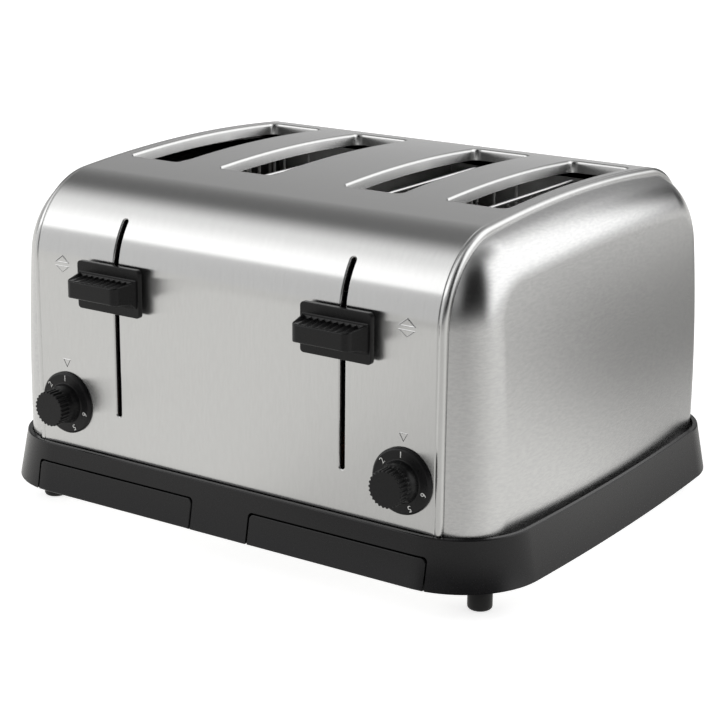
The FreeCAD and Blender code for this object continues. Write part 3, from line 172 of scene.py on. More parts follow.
def around_body(n):
    """Tangent of the covers, whose lines run round them from front to back."""
    normal = n.add("NewGeometry").outputs["Normal"]
    side = n.maths("SIGN", n.add("SeparateXYZ", {"Vector": normal}).outputs["X"])
    turned = n.vector("CROSS_PRODUCT", normal, (0.0, 1.0, 0.0))
    facing = n.add("CombineXYZ", {"X": side, "Y": side, "Z": side}).outputs[0]
    return n.vector("ADD", n.vector("MULTIPLY", turned, facing), (0.0, 0.0, 0.2))


brushed_steel("wrap_steel", dark=(0.585, 0.585, 0.58), roughness=0.23, spread=0.88, grain=2600.0,
              stretch=(1.0, 0.012, 0.012), relief=0.08, tangent=across_body)
brushed_steel("cover_steel", dark=(0.555, 0.555, 0.555), roughness=0.25, spread=0.6, grain=2300.0,
              stretch=(0.03, 0.018, 1.0), relief=0.5, tangent=around_body)


# Plain metals
def plain_metal(name, colour, roughness):
    n = material(name)
    place = n.place()
    spots = n.noise(place, scale=180.0, detail=3.0)
    rough = n.ramp(spots, 0.2, 0.8, roughness - 0.05, roughness + 0.07)
    tint = n.colours(n.noise(place, scale=30.0), [v * 0.9 for v in colour], colour)
    n.shade(Base_Color=tint, Metallic=1.0, Roughness=rough, Normal=n.bump(spots, 0.02 * MM, strength=0.3))


plain_metal("chassis_sheet", (0.62, 0.62, 0.615), 0.42)
plain_metal("tray_sheet", (0.6, 0.6, 0.6), 0.35)
# the guard wires are bright steel, made paler still so that the rods read light all across in the slots'
# shade: partly painted light
plain_metal("bright_wire", (0.8, 0.8, 0.8), 0.3)
plain_metal("spring_steel", (0.5, 0.5, 0.5), 0.3)
plain_metal("screw_steel", (0.55, 0.55, 0.55), 0.3)
# pale and dark copies of steel for the panel marks: painted highlight on slopes that face up, painted
# shade on those that face down
plain_metal("mark_steel_painted_highlight", (0.72, 0.72, 0.72), 0.25)
plain_metal("mark_steel_painted_shade", (0.16, 0.16, 0.16), 0.3)


# Plastics and other surfaces
def moulded(name, colour, roughness, depth=0.03 * MM, pale=1.25, gloss=0.5):
    """Plastic with a fine moulded texture."""
    n = material(name)
    place = n.place()
    texture = n.noise(place, scale=900.0, detail=3.0, roughness=0.6)
    tint = n.colours(n.noise(place, scale=25.0), colour, [min(1.0, v * pale) for v in colour])
    rough = n.ramp(texture, 0.25, 0.75, roughness - 0.05, roughness + 0.06)
    n.shade(Base_Color=tint, Roughness=rough, Specular_IOR_Level=gloss,
            Normal=n.bump(texture, depth, strength=0.5))


moulded("base_plastic", (0.0075, 0.0073, 0.0079), 0.24, depth=0.015 * MM, pale=1.1, gloss=0.3)
moulded("knob_plastic", (0.006, 0.0059, 0.0062), 0.3, depth=0.02 * MM, gloss=0.24)
moulded("foot_plastic", (0.006, 0.006, 0.006), 0.45, gloss=0.2)
# the mica is near black, as painted shade inside the slots; a pale copy of it paints the light that falls
# on the middle boards through the slots
moulded("mica", (0.012, 0.011, 0.010), 0.5, gloss=0.3)
moulded("mica_painted_light", (0.85, 0.84, 0.82), 0.35, pale=1.05)
moulded("ribbon", (0.30, 0.29, 0.28), 0.4)
moulded("coil", (0.4, 0.17, 0.06), 0.3)
moulded("circuit_board", (0.23, 0.18, 0.08), 0.5)
moulded("control_body", (0.04, 0.09, 0.15), 0.35)
moulded("terminal_plastic", (0.7, 0.69, 0.64), 0.4)
moulded("dial_print", (0.62, 0.62, 0.6), 0.5, gloss=0.2)

# the two middle heater boards take the pale mica copy, painted light from the slot openings
PAINTED_LIGHT_BOARDS = ("heater_board_middle_left", "heater_board_middle_right")
for part in frame["record"]["subparts"]:
    for holder in frame["nodes"][part["node"]].material_slots:
        holder.material = MATERIALS["mica_painted_light" if part["node"] in PAINTED_LIGHT_BOARDS else part["material_slot"]]


# Points, normals and faces of a form
class Skin:
    """Points with their own normals, so that polished surfaces reflect without facets."""

    def __init__(self):
        self.points = []
        self.normals = []
        self.faces = []

    def point(self, place, normal):
        self.points.append(Vector(place))
        self.normals.append(Vector(normal).normalized())
        return len(self.points) - 1

    def face(self, *corners):
        """Adds a face, turned to the side that its points' normals show."""
        corners = [c for i, c in enumerate(corners) if c != corners[i - 1]]
        if len(corners) < 3:
            return
        origin = self.points[corners[0]]
        flat = Vector((0, 0, 0))
        for first, second in zip(corners[1:], corners[2:]):
            flat += (self.points[first] - origin).cross(self.points[second] - origin)
        facing = sum((self.normals[c] for c in corners), Vector((0, 0, 0)))
        self.faces.append(corners if flat.dot(facing) >= 0 else corners[::-1])

    def strip(self, first, second, closed=False):
        """Joins two equally long rows of points."""
        count = len(first)
        for i in range(count if closed else count - 1):
            j = (i + 1) % count
            self.face(first[i], first[j], second[j], second[i])

    def solid(self, name, wall, mirror=False):
        """Object of the skin, a second skin a wall's thickness behind it and the rims between them."""
        count = len(self.points)
        points = self.points + [p - wall * n for p, n in zip(self.points, self.normals)]
        normals = self.normals + [-n for n in self.normals]
        edges = {(f[i], f[(i + 1) % len(f)]) for f in self.faces for i in range(len(f))}
        rims = [(b, a, a + count, b + count) for a, b in edges if (b, a) not in edges]
        rims.sort()
        faces = self.faces + [[c + count for c in reversed(f)] for f in self.faces]
        split = [normals[c] for f in faces for c in f]
        for rim in rims:
            a, b, c = (points[i] for i in rim[:3])
            split += [(b - a).cross(c - a).normalized()] * 4
        return build(name, points, faces + rims, split, mirror)

    def shell(self, name):
        return build(name, self.points, self.faces, [self.normals[c] for f in self.faces for c in f])


def new_object(name, points, faces):
    mesh = bpy.data.meshes.new(name)
    mesh.from_pydata(points, [], faces)
    made = bpy.data.objects.new(name, mesh)
    bpy.context.collection.objects.link(made)
    return made


def build(name, points, faces, split, mirror=False):
    """Object from points, faces and the normals of the faces' corners."""
    if mirror:
        points = [Vector((-p.x, p.y, p.z)) for p in points]
        split = [Vector((-n.x, n.y, n.z)) for n in split]
        turned = []
        at = 0
        for f in faces:
            turned += split[at:at + len(f)][::-1]
            at += len(f)
        split = turned
        faces = [f[::-1] for f in faces]
    made = new_object(name, points, faces)
    made.data.shade_smooth()
    made.data.normals_split_custom_set(split)
    return made


def finish_piece(piece, slot, body, *nodes, finish=None):
    """Gives a piece its finish, its body and the CAD nodes that it stands for."""
    piece.data.materials.append(MATERIALS[finish or slot])
    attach(piece, body)
    if nodes:
        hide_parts(*nodes)


def steps(start, end, count):
    return [start + (end - start) * i / count for i in range(count + 1)]


def full_turn(count):
    return [2 * pi * i / count for i in range(count)]


def quarter_round(radius, count):
    """Inset, depth and angle over a round edge, from a side up to the face."""
    return [(radius * (1 - cos(a)), radius * (1 - sin(a)), a) for a in steps(0.0, pi / 2, count)]


# Flat panels with holes
CROSSING_TOLERANCE = 1e-7


def inside(spot, loop, box):
    """Whether a flat point lies in a closed loop, whose box is given to save time."""
    x, y = spot
    if not (box[0] < x < box[1] and box[2] < y < box[3]):
        return False
    within = False
    for (ax, ay), (bx, by) in zip(loop, loop[1:] + loop[:1]):
        if (ay > y) != (by > y) and x < (bx - ax) * (y - ay) / (by - ay) + ax:
            within = not within
    return within


def box_of(loop):
    xs, ys = zip(*loop)
    return min(xs), max(xs), min(ys), max(ys)


def grid(first, second):
    return [(a, b) for a in first for b in second]


def grid_over(loop, columns, rows):
    """Spots over the box of a loop."""
    low_x, high_x, low_y, high_y = box_of(loop)
    return grid(steps(low_x, high_x, columns), steps(low_y, high_y, rows))


def panel(skin, lay, outline, holes, filling, margin):
    """Fills an outline with holes, in flat coordinates that lay() carries to the form.

    Spots of the filling nearer to a loop than the margin are left out. Gives each loop's points.
    """
    outer_box = box_of(outline)
    boxed = [(hole, box_of(hole)) for hole in holes]

    def crowded(spot, loop):
        return min((spot[0] - x) ** 2 + (spot[1] - y) ** 2 for x, y in loop) < margin * margin

    def free(spot):
        if not inside(spot, outline, outer_box) or crowded(spot, outline):
            return False
        for hole, box in boxed:
            level = box[0] - margin < spot[0] < box[1] + margin
            if level and box[2] - margin < spot[1] < box[3] + margin:
                if inside(spot, hole, box) or crowded(spot, hole):
                    return False
        return True

    loops = [outline] + holes
    edges = []
    for loop in loops:
        start = len(edges)
        edges += [(start + i, start + (i + 1) % len(loop)) for i in range(len(loop))]
    spots = [Vector(spot) for loop in loops for spot in loop]
    spots += [Vector(spot) for spot in filling if free(spot)]
    flat, _, faces, sources, _, _ = delaunay_2d_cdt(spots, edges, [], 0, CROSSING_TOLERANCE)
    made = [skin.point(*lay(*spot)) for spot in flat]
    for face in faces:
        middle = sum((flat[i] for i in face), Vector((0, 0))) / len(face)
        if inside(middle, outline, outer_box) and not any(inside(middle, *hole) for hole in boxed):
            skin.face(*(made[i] for i in face))
    where = {source: made[i] for i, found in enumerate(sources) for source in found}
    rows = []
    start = 0
    for loop in loops:
        rows.append([where[start + i] for i in range(len(loop))])
        start += len(loop)
    return rows


# Lines of straights and arcs, measured along
class Track:
    """A straight, some arcs and a straight; each arc is (centre, radius, first angle, last angle)."""

    def __init__(self, lead, arcs, tail):
        self.arcs = arcs
        self.marks = [0.0, lead]
        for _, radius, first, last in arcs:
            self.marks.append(self.marks[-1] + radius * abs(last - first))
        self.length = self.marks[-1] + tail
        self.marks.append(self.length)

    def at(self, run):
        """Point and the angle of the outward direction at a distance along."""
        part = sum(run > mark for mark in self.marks[1:-1])
        arc = max(0, min(len(self.arcs), part) - 1)
        (x, y), radius, first, last = self.arcs[arc]
        side = copysign(1.0, last - first)
        held = max(self.marks[arc + 1], min(self.marks[arc + 2], run))
        turn = first + side * (held - self.marks[arc + 1]) / radius
        past = side * (run - held)
        return x + radius * cos(turn) - past * sin(turn), y + radius * sin(turn) + past * cos(turn), turn

    def levels(self, *counts):
        """Distances along, with a number of steps for each straight and arc."""
        found = [0.0]
        for start, end, count in zip(self.marks, self.marks[1:], counts):
            found += steps(start, end, count)[1:]
        return found


# Side profile of the body, shared by the wrap and the end covers
WRAP_LOW, WRAP_HIGH = (Vector(corner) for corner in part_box("wrap_housing"))
PANEL = WRAP_LOW.y
BODY_MIDDLE = (WRAP_LOW.y + WRAP_HIGH.y) / 2
HALF_DEPTH = (WRAP_HIGH.y - WRAP_LOW.y) / 2
SEAM = WRAP_HIGH.x
DECK = WRAP_LOW.z
CORNER_RADIUS = 45.0 * MM
CROWN_RADIUS = 940.0 * MM
CROWN = (BODY_MIDDLE + 7.0 * MM, DECK + 150.8 * MM - CROWN_RADIUS)


def body_profile():
    """From the deck up the flat front, over a long arc and down the back, as (y, z)."""
    sides = (BODY_MIDDLE - HALF_DEPTH + CORNER_RADIUS, BODY_MIDDLE + HALF_DEPTH - CORNER_RADIUS)
    spread = CROWN_RADIUS - CORNER_RADIUS
    turns = [acos((side - CROWN[0]) / spread) for side in sides]
    front, back = ((side, CROWN[1] + spread * sin(turn)) for side, turn in zip(sides, turns))
    arcs = ((front, CORNER_RADIUS, pi, turns[0]), (CROWN, CROWN_RADIUS, *turns),
            (back, CORNER_RADIUS, turns[1], 0.0))
    return Track(front[1] - DECK, arcs, back[1] - DECK)


PROFILE = body_profile()


def body_point(x, run, height=0.0):
    """Point and normal on the body at x and a distance along its profile, raised by a height."""
    y, z, turn = PROFILE.at(run)
    normal = Vector((0, cos(turn), sin(turn)))
    return Vector((x, y, z)) + height * normal, normal


def on_crown(y):
    """Distance along the profile to a y on the crown."""
    return PROFILE.marks[2] + CROWN_RADIUS * (PROFILE.arcs[1][2] - acos((y - CROWN[0]) / CROWN_RADIUS))


def on_front(z):
    """Distance along the profile to a height on the front or its rounded corner."""
    past = max(0.0, z - DECK - PROFILE.marks[1])
    return z - DECK - past + CORNER_RADIUS * asin(past / CORNER_RADIUS)


# Outlines: each place with the direction in which the outline grows
def rounded_outline(half_width, half_height, corner, straight, turn):
    """Rounded rectangle as (point, outward way) pairs, with steps on its sides and in its corners."""
    found = []
    inner = (half_width - corner, half_height - corner)
    for quarter, (side, level) in enumerate(((1, 1), (-1, 1), (-1, -1), (1, -1))):
        centre = Vector((side * inner[0], level * inner[1]))
        for angle in steps(quarter * pi / 2, (quarter + 1) * pi / 2, turn):
            way = Vector((cos(angle), sin(angle)))
            found.append((centre + corner * way, way))
        start, way = found[-1]
        run = Vector((-2 * way.y * inner[0], 2 * way.x * inner[1]))
        found += [(start + run * i / straight, way) for i in range(1, straight)]
    return found


def section_normals(section):
    """Normals of an open section whose points are (outward, up), up to its left as it runs inward."""
    found = []
    for i in range(len(section)):
        before = section[max(i - 1, 0)]
        after = section[min(i + 1, len(section) - 1)]
        run = (after[0] - before[0], after[1] - before[1])
        size = hypot(*run)
        found.append((run[1] / size, -run[0] / size))
    return found


def roll(skin, row, section, shape, *where, closed=True):
    """Carries a row of points on over a section in millimetres.

    For each place (out, up) of the section and its normal (across, rise), shape() gives the points and
    their normals all along the row.
    """
    for station, normal in list(zip(section, section_normals(section)))[1:]:
        following = [skin.point(*spot) for spot in shape(*where, *station, *normal)]
        skin.strip(row, following, closed)
        row = following


# Steel wrap
SHEET = 0.8 * MM
WRAP_COLUMNS = 34
WRAP_STEPS = (12, 48, 40, 48, 12)
WRAP_MARGIN = 1.0 * MM
SLOT_WIDTH, SLOT_LENGTH, SLOT_CORNER = 35.0 * MM, 132.0 * MM, 4.0 * MM
SLOT_LINES = (-101.1 * MM, -40.1 * MM, 40.1 * MM, 101.1 * MM)
SLOT_MIDDLE = BODY_MIDDLE + 9.0 * MM
SLOT_OUTLINE = rounded_outline(SLOT_WIDTH / 2, SLOT_LENGTH / 2, SLOT_CORNER, 16, 8)
RIM_SECTION = (
    (2.4, 0.0), (2.0, 0.05), (1.6, 0.07), (1.2, 0.0), (0.8, -0.15), (0.45, -0.4), (0.18, -0.76),
    (0.04, -1.18), (0.0, -1.7), (0.0, -3.6), (0.0, -6.4),
)
# below this height of the section, the flanges are shaded as if they leaned back a little
FLANGE_TOP, FLANGE_LIFT = -1.0, 0.16
LEVER_LINE = 70.6 * MM
SLIT_WIDTH, SLIT_CORNER = 2.9 * MM, 1.4 * MM
SLIT_LOW, SLIT_HIGH = DECK + 25.7 * MM, DECK + 129.4 * MM
SLIT_HALF = (SLIT_HIGH - SLIT_LOW) / 2
SLIT_RUN = (on_front(SLIT_LOW), on_front(SLIT_HIGH))
SLIT_OUTLINE = rounded_outline(SLIT_WIDTH / 2, SLIT_HALF, SLIT_CORNER, 40, 6)
SLIT_SECTION = (
    (0.9, 0.0), (0.65, -0.04), (0.4, -0.16), (0.2, -0.36), (0.06, -0.66), (0.0, -1.0), (0.0, -1.8),
)
KNOB_ACROSS, KNOB_HEIGHT = 105.9 * MM, DECK + 27.2 * MM
PANEL_HOLE = 4.0 * MM
INLET_ACROSS, INLET_HEIGHT, INLET_HOLE = 60.0 * MM, DECK + 24.0 * MM, 7.6 * MM
HOLE_STEPS = 32
# the bead along a seam, from the panel over a groove and the bead's crest down into the body
BEAD_SECTION = (
    (4.4, 0.0), (4.15, -0.03), (3.9, -0.14), (3.65, -0.28), (3.4, -0.28), (3.15, -0.12), (2.85, -0.02),
    (2.3, 0.0), (1.7, -0.08), (1.1, -0.36), (0.6, -0.78), (0.25, -1.32), (0.06, -1.9), (0.0, -2.4),
    (0.0, -6.0),
)
BEAD_CREST = 2.3
# the groove rises out of the flat panel between these distances from the deck
GROOVE_FADE = (35.0 * MM, 85.0 * MM)


def slot_place(line, spot, way, reach):
    """Place on the wrap of a point of a bread slot's outline, grown by a reach."""
    x, y = spot + reach * way
    return line + x, on_crown(SLOT_MIDDLE + y)


def slot_rim(line, out, up, across, rise):
    if up < FLANGE_TOP:
        rise += FLANGE_LIFT
    for spot, way in SLOT_OUTLINE:
        place, lift = body_point(*slot_place(line, spot, way, out * MM))
        yield place + Vector((0, 0, up * MM)), across * Vector((way.x, way.y, 0)) + rise * lift


def slit_place(line, spot, way, reach):
    """Place on the wrap of a point of a lever slit's outline, grown by a reach."""
    run = sum(SLIT_RUN) / 2 + spot.y * (SLIT_RUN[1] - SLIT_RUN[0]) / (2 * SLIT_HALF)
    return line + spot.x + reach * way.x, run + reach * way.y


def slit_edge(line, out, up, across, rise):
    for spot, way in SLIT_OUTLINE:
        place, lift = body_point(*slit_place(line, spot, way, out * MM), up * MM)
        along = Vector((0, lift.z, -lift.y))
        yield place, across * (way.x * Vector((1, 0, 0)) + way.y * along) + rise * lift


def seam_bead(sign, levels, out, up, across, rise):
    for run in levels:
        low = min(run, PROFILE.length - run)
        share = max(0.0, min(1.0, (low - GROOVE_FADE[0]) / (GROOVE_FADE[1] - GROOVE_FADE[0])))
        sunk = up * share if out > BEAD_CREST else up
        place, lift = body_point(sign * (SEAM - out * MM), run, sunk * MM)
        yield place, rise * lift - across * Vector((sign, 0, 0))


def make_wrap():
    skin = Skin()
    edge = SEAM - BEAD_SECTION[0][0] * MM
    levels = PROFILE.levels(*WRAP_STEPS)
    columns = steps(-edge, edge, WRAP_COLUMNS)
    outline = [(x, 0.0) for x in columns[:-1]] + [(edge, s) for s in levels[:-1]]
    outline += [(x, PROFILE.length) for x in reversed(columns[1:])]
    outline += [(-edge, s) for s in reversed(levels[1:])]
    slit_lines = [sign * LEVER_LINE for _, sign in SIDES]
    holes = []
    for lines, shape, place, section in (
        (SLOT_LINES, SLOT_OUTLINE, slot_place, RIM_SECTION),
        (slit_lines, SLIT_OUTLINE, slit_place, SLIT_SECTION),
    ):
        reach = section[0][0] * MM
        holes += [[place(line, spot, way, reach) for spot, way in shape] for line in lines]
    rounds = [(sign * KNOB_ACROSS, KNOB_HEIGHT - DECK, PANEL_HOLE) for _, sign in SIDES]
    rounds.append((INLET_ACROSS, PROFILE.length - INLET_HEIGHT + DECK, INLET_HOLE))
    for x, run, radius in rounds:
        holes.append([(x + radius * cos(a), run + radius * sin(a)) for a in full_turn(HOLE_STEPS)])
    rows = panel(skin, body_point, outline, holes, grid(columns[1:-1], levels[1:-1]), WRAP_MARGIN)
    edges = iter(rows[1:])
    for line in SLOT_LINES:
        roll(skin, next(edges), RIM_SECTION, slot_rim, line)
    for line in slit_lines:
        roll(skin, next(edges), SLIT_SECTION, slit_edge, line)
    first = len(columns) - 1
    right_row = rows[0][first:first + len(levels)]
    left_row = (rows[0][2 * first + len(levels) - 1:] + rows[0][:1])[::-1]
    for row, sign in ((right_row, RIGHT), (left_row, LEFT)):
        roll(skin, row, BEAD_SECTION, seam_bead, sign, levels, closed=False)
    finish_piece(skin.solid("wrap_sheet", SHEET), "wrap_steel", "root", "wrap_housing")


# End covers: a crowned side, rolled into the seam
SEAM_STEP = 2.4 * MM
COVER_REACH = Vector(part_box("end_cover_right")[1]).x
SIDE_CROWN_RADIUS = 1020.0 * MM
SIDE_CROWN_HEIGHT = DECK + 17.0 * MM
COVER_CORNER = 25.0 * MM
COVER_FLANGE = 6.0 * MM
COVER_EDGE = 0.2 * MM
COVER_LIFT = 0.5 * MM
COVER_STEPS = (12, 48, 30, 48, 12)
COVER_TURN_STEPS, COVER_EDGE_STEPS = 20, 4
COVER_FILLING, COVER_MARGIN = (24, 16), 3.0 * MM


def make_cover(name, mirror):
    skin = Skin()
    ball = Vector((COVER_REACH - SIDE_CROWN_RADIUS, BODY_MIDDLE, SIDE_CROWN_HEIGHT))
    inner = SIDE_CROWN_RADIUS - COVER_CORNER
    back = Vector((-1, 0, 0))
    columns = []
    for run in PROFILE.levels(*COVER_STEPS):
        run = max(COVER_LIFT, min(PROFILE.length - COVER_LIFT, run))
        place, out = body_point(0.0, run, -SEAM_STEP)
        centre = place - COVER_CORNER * out
        away = hypot(centre.y - ball.y, centre.z - ball.z)
        centre.x = ball.x + sqrt(inner * inner - away * away)
        face_way = (centre - ball).normalized()
        full = out.angle(face_way)
        side_way = (face_way - out * cos(full)).normalized()
        start = asin(max(0.0, (SEAM + COVER_EDGE - centre.x) / COVER_CORNER))
        seam_place = centre + COVER_CORNER * (cos(start) * out + sin(start) * side_way)
        level = seam_place - COVER_EDGE * out
        column = [skin.point(Vector((SEAM, level.y, level.z)) - COVER_FLANGE * out, back)]
        for i in range(COVER_EDGE_STEPS):
            turn = i * pi / 2 / COVER_EDGE_STEPS
            way = sin(turn) * out + cos(turn) * back
            column.append(skin.point(level + COVER_EDGE * way, way))
        for turn in steps(start, full, COVER_TURN_STEPS - 1):
            way = cos(turn) * out + sin(turn) * side_way
            column.append(skin.point(centre + COVER_CORNER * way, way))
        columns.append(column)
    rows = list(zip(*columns))
    for first, second in zip(rows, rows[1:]):
        skin.strip(first, second)

    def lay(y, z):
        away = (y - ball.y) ** 2 + (z - ball.z) ** 2
        place = Vector((ball.x + sqrt(SIDE_CROWN_RADIUS ** 2 - away), y, z))
        return place, place - ball

    rim = [(skin.points[i].y, skin.points[i].z) for i in rows[-1]]
    sill = [(y, rim[0][1]) for y in steps(rim[-1][0], rim[0][0], COVER_FILLING[0])[1:-1]]
    outline = rim + sill
    panel(skin, lay, outline, [], grid_over(outline, *COVER_FILLING), COVER_MARGIN)
    cover = skin.solid(name.replace("end_cover", "cover_sheet"), SHEET, mirror)
    finish_piece(cover, "cover_steel", "root", name)


# Plan of the base
BASE_LOW, BASE_HIGH = (Vector(corner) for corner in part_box("base_moulding"))
UNDER, RIM_TOP = BASE_LOW.z, BASE_HIGH.z
FLARE = 4.8 * MM
# the flared wall is shaded as if hollowed by this turn of its normals from foot to rim
WALL_HOLLOW = radians(16)
WALL_LEAN = atan2(FLARE, RIM_TOP - UNDER)
PLAN_CORNER, PLAN_BOW = 46.0 * MM, 1670.0 * MM
PLAN_STEPS = (12, 26, 30, 26, 12)


def base_plan():
    """Right half of the base, from the middle of its straight front to the middle of its rear."""
    middle = BASE_HIGH.x - PLAN_BOW
    rise = (BASE_HIGH.y - BASE_LOW.y) / 2 - PLAN_CORNER
    spread = PLAN_BOW - PLAN_CORNER
    turn = asin(rise / spread)
    run = middle + spread * cos(turn)
    arcs = (((run, -rise), PLAN_CORNER, -pi / 2, -turn), ((middle, 0.0), PLAN_BOW, -turn, turn),
            ((run, rise), PLAN_CORNER, turn, pi / 2))
    return Track(run, arcs, run)


PLAN = base_plan()


def plan_point(along, inset=0.0):
    """Point (x, y) of the plan, drawn in by an inset, and its outward way; to the left it is mirrored."""
    side = copysign(1.0, along)
    x, y, turn = PLAN.at(abs(along))
    x, y = x - inset * cos(turn), y - inset * sin(turn)
    return Vector((side * x, y + BODY_MIDDLE)), Vector((side * cos(turn), sin(turn)))


def on_plan(x, inset=0.0):
    """Distance along the front of a point at x on the plan drawn in by an inset."""
    past = max(0.0, abs(x) - PLAN.marks[1])
    return copysign(abs(x) - past + PLAN_CORNER * asin(past / (PLAN_CORNER - inset)), x)


def plan_marks(start, end):
    """Distances along between two limits, close together on the round corners."""
    found = PLAN.levels(*PLAN_STEPS)
    return [v for v in [-v for v in found[:0:-1]] + found if start <= v <= end]


def flared(height):
    """Inset of the base's outside at a height."""
    return FLARE * (height - UNDER) / (RIM_TOP - UNDER)


def wall_point(along, height, depth=0.0):
    """Point and normal on the flared outside at a height, sunk in by a depth."""
    lean = WALL_LEAN + WALL_HOLLOW * (0.5 - (height - UNDER) / (RIM_TOP - UNDER))
    spot, way = plan_point(along, flared(height))
    normal = Vector((way.x * cos(lean), way.y * cos(lean), sin(lean)))
    return Vector((spot.x, spot.y, height)) - depth * normal, normal


# Base moulding
FEET = ("front_left", "front_right", "rear_left", "rear_right")
TRAY_HALF, TRAY_HEIGHT, TRAY_DEPTH = 52.0 * MM, 15.4 * MM, 5.6 * MM
TRAY_GAP, TRAY_CORNER = 0.9 * MM, 2.5 * MM
FRONT_STEPS = {"side": 4, "corner": 6, "top": 44}
RIM_WALL = 2.8 * MM
BASE_SHELL = 7.4 * MM
DECK_WALL = 2.5 * MM
DECK_UNDERSIDE = DECK - DECK_WALL
RIM_ROUND, RIM_INNER_ROUND, CHANNEL_ROUND = 0.8 * MM, 0.5 * MM, 0.4 * MM
WRAP_RELIEF = (SEAM + 0.3 * MM, HALF_DEPTH + 0.3 * MM)
COVER_RELIEF = (149.3 * MM, HALF_DEPTH - 2.1 * MM, 25.3 * MM)
RELIEF_STEPS = 24
WALL_STEPS, WALL_MARGIN = 8, 1.2 * MM
WELL_HALF = (TRAY_HALF - 8.0 * MM, SLOT_LENGTH / 2 + 10.0 * MM)
WELL_CORNER = 1.0 * MM
BOSS_STEPS = 36
BOSS_SECTION = (
    (9.0 * MM, DECK_UNDERSIDE), (9.0 * MM, UNDER + 0.4 * MM), (8.6 * MM, UNDER), (6.0 * MM, UNDER),
    (6.0 * MM, UNDER + 0.3 * MM), (2.6 * MM, UNDER + 0.5 * MM),
)


def front_outline(line, half, top):
    """Outline in the front, from lower left over the top to lower right: (x, z) and outward way."""
    side, corner, across = FRONT_STEPS.values()
    inner, shoulder = half - TRAY_CORNER, top - TRAY_CORNER
    found = [((line - half, z), (-1.0, 0.0)) for z in steps(UNDER, shoulder, side)[:-1]]
    for middle, start, end in ((line - inner, pi, pi / 2), (line + inner, pi / 2, 0.0)):
        for angle in steps(start, end, corner):
            way = (cos(angle), sin(angle))
            found.append(((middle + TRAY_CORNER * way[0], shoulder + TRAY_CORNER * way[1]), way))
        if end:
            found += [((x, top), (0.0, 1.0)) for x in steps(line - inner, line + inner, across)[1:-1]]
    return found + [((line + half, z), (1.0, 0.0)) for z in steps(shoulder, UNDER, side)[1:]]


def rim_section():
    """Section of the rim, from the wall over the top to the deck: inset, height and normal's angle."""
    level = RIM_TOP - RIM_ROUND
    land = FLARE + RIM_WALL
    rounds = (
        (flared(level) + RIM_ROUND / cos(WALL_LEAN), level, RIM_ROUND, WALL_LEAN, pi / 2, 7),
        (land - RIM_INNER_ROUND, RIM_TOP - RIM_INNER_ROUND, RIM_INNER_ROUND, pi / 2, pi, 5),
        (land + CHANNEL_ROUND, DECK + CHANNEL_ROUND, -CHANNEL_ROUND, pi, pi / 2, 4),
    )
    found = []
    for inset, height, radius, start, end, count in rounds:
        for angle in steps(start, end, count):
            found.append((inset - radius * cos(angle), height + radius * sin(angle), angle))
    return found


def relieved(along):
    """How much less than its full thickness the rim has where the wrap and the covers come near it."""
    half_width, half_depth, corner = COVER_RELIEF
    for inset in steps(FLARE + RIM_ROUND, FLARE + RIM_WALL, RELIEF_STEPS):
        spot = plan_point(along, inset)[0]
        x, y = abs(spot.x), abs(spot.y - BODY_MIDDLE)
        past_x, past_y = max(0.0, x - half_width + corner), max(0.0, y - half_depth + corner)
        by_wrap = x < WRAP_RELIEF[0] and y < WRAP_RELIEF[1]
        if by_wrap or (x < half_width and y < half_depth and hypot(past_x, past_y) < corner):
            return FLARE + RIM_WALL - inset
    return 0.0


def inner_wall(along, height):
    spot, way = plan_point(along, BASE_SHELL)
    return Vector((spot.x, spot.y, height)), Vector((-way.x, -way.y, 0))


def standing(foot):
    """Gives a function to places round the upright axis of a foot."""
    low, high = (Vector(corner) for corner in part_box(f"foot_{foot}"))
    middle = (low + high) / 2
    return lambda r, turn, z: Vector((middle.x + r * cos(turn), middle.y + r * sin(turn), z))


def add_turned(skin, section, count, lay):
    """Adds a form of revolution, each stretch of its section with its own flat normals along it."""
    near = 0.001
    for (r1, s1), (r2, s2) in zip(section, section[1:]):
        rows = []
        for r, s in ((r1, s1), (r2, s2)):
            row = []
            for turn in full_turn(count):
                along = lay(r2, turn, s2) - lay(r1, turn, s1)
                around = lay(1.0, turn + near, s1) - lay(1.0, turn - near, s1)
                row.append(skin.point(lay(r, turn, s), along.cross(around)))
            rows.append(row)
        skin.strip(*rows, closed=True)


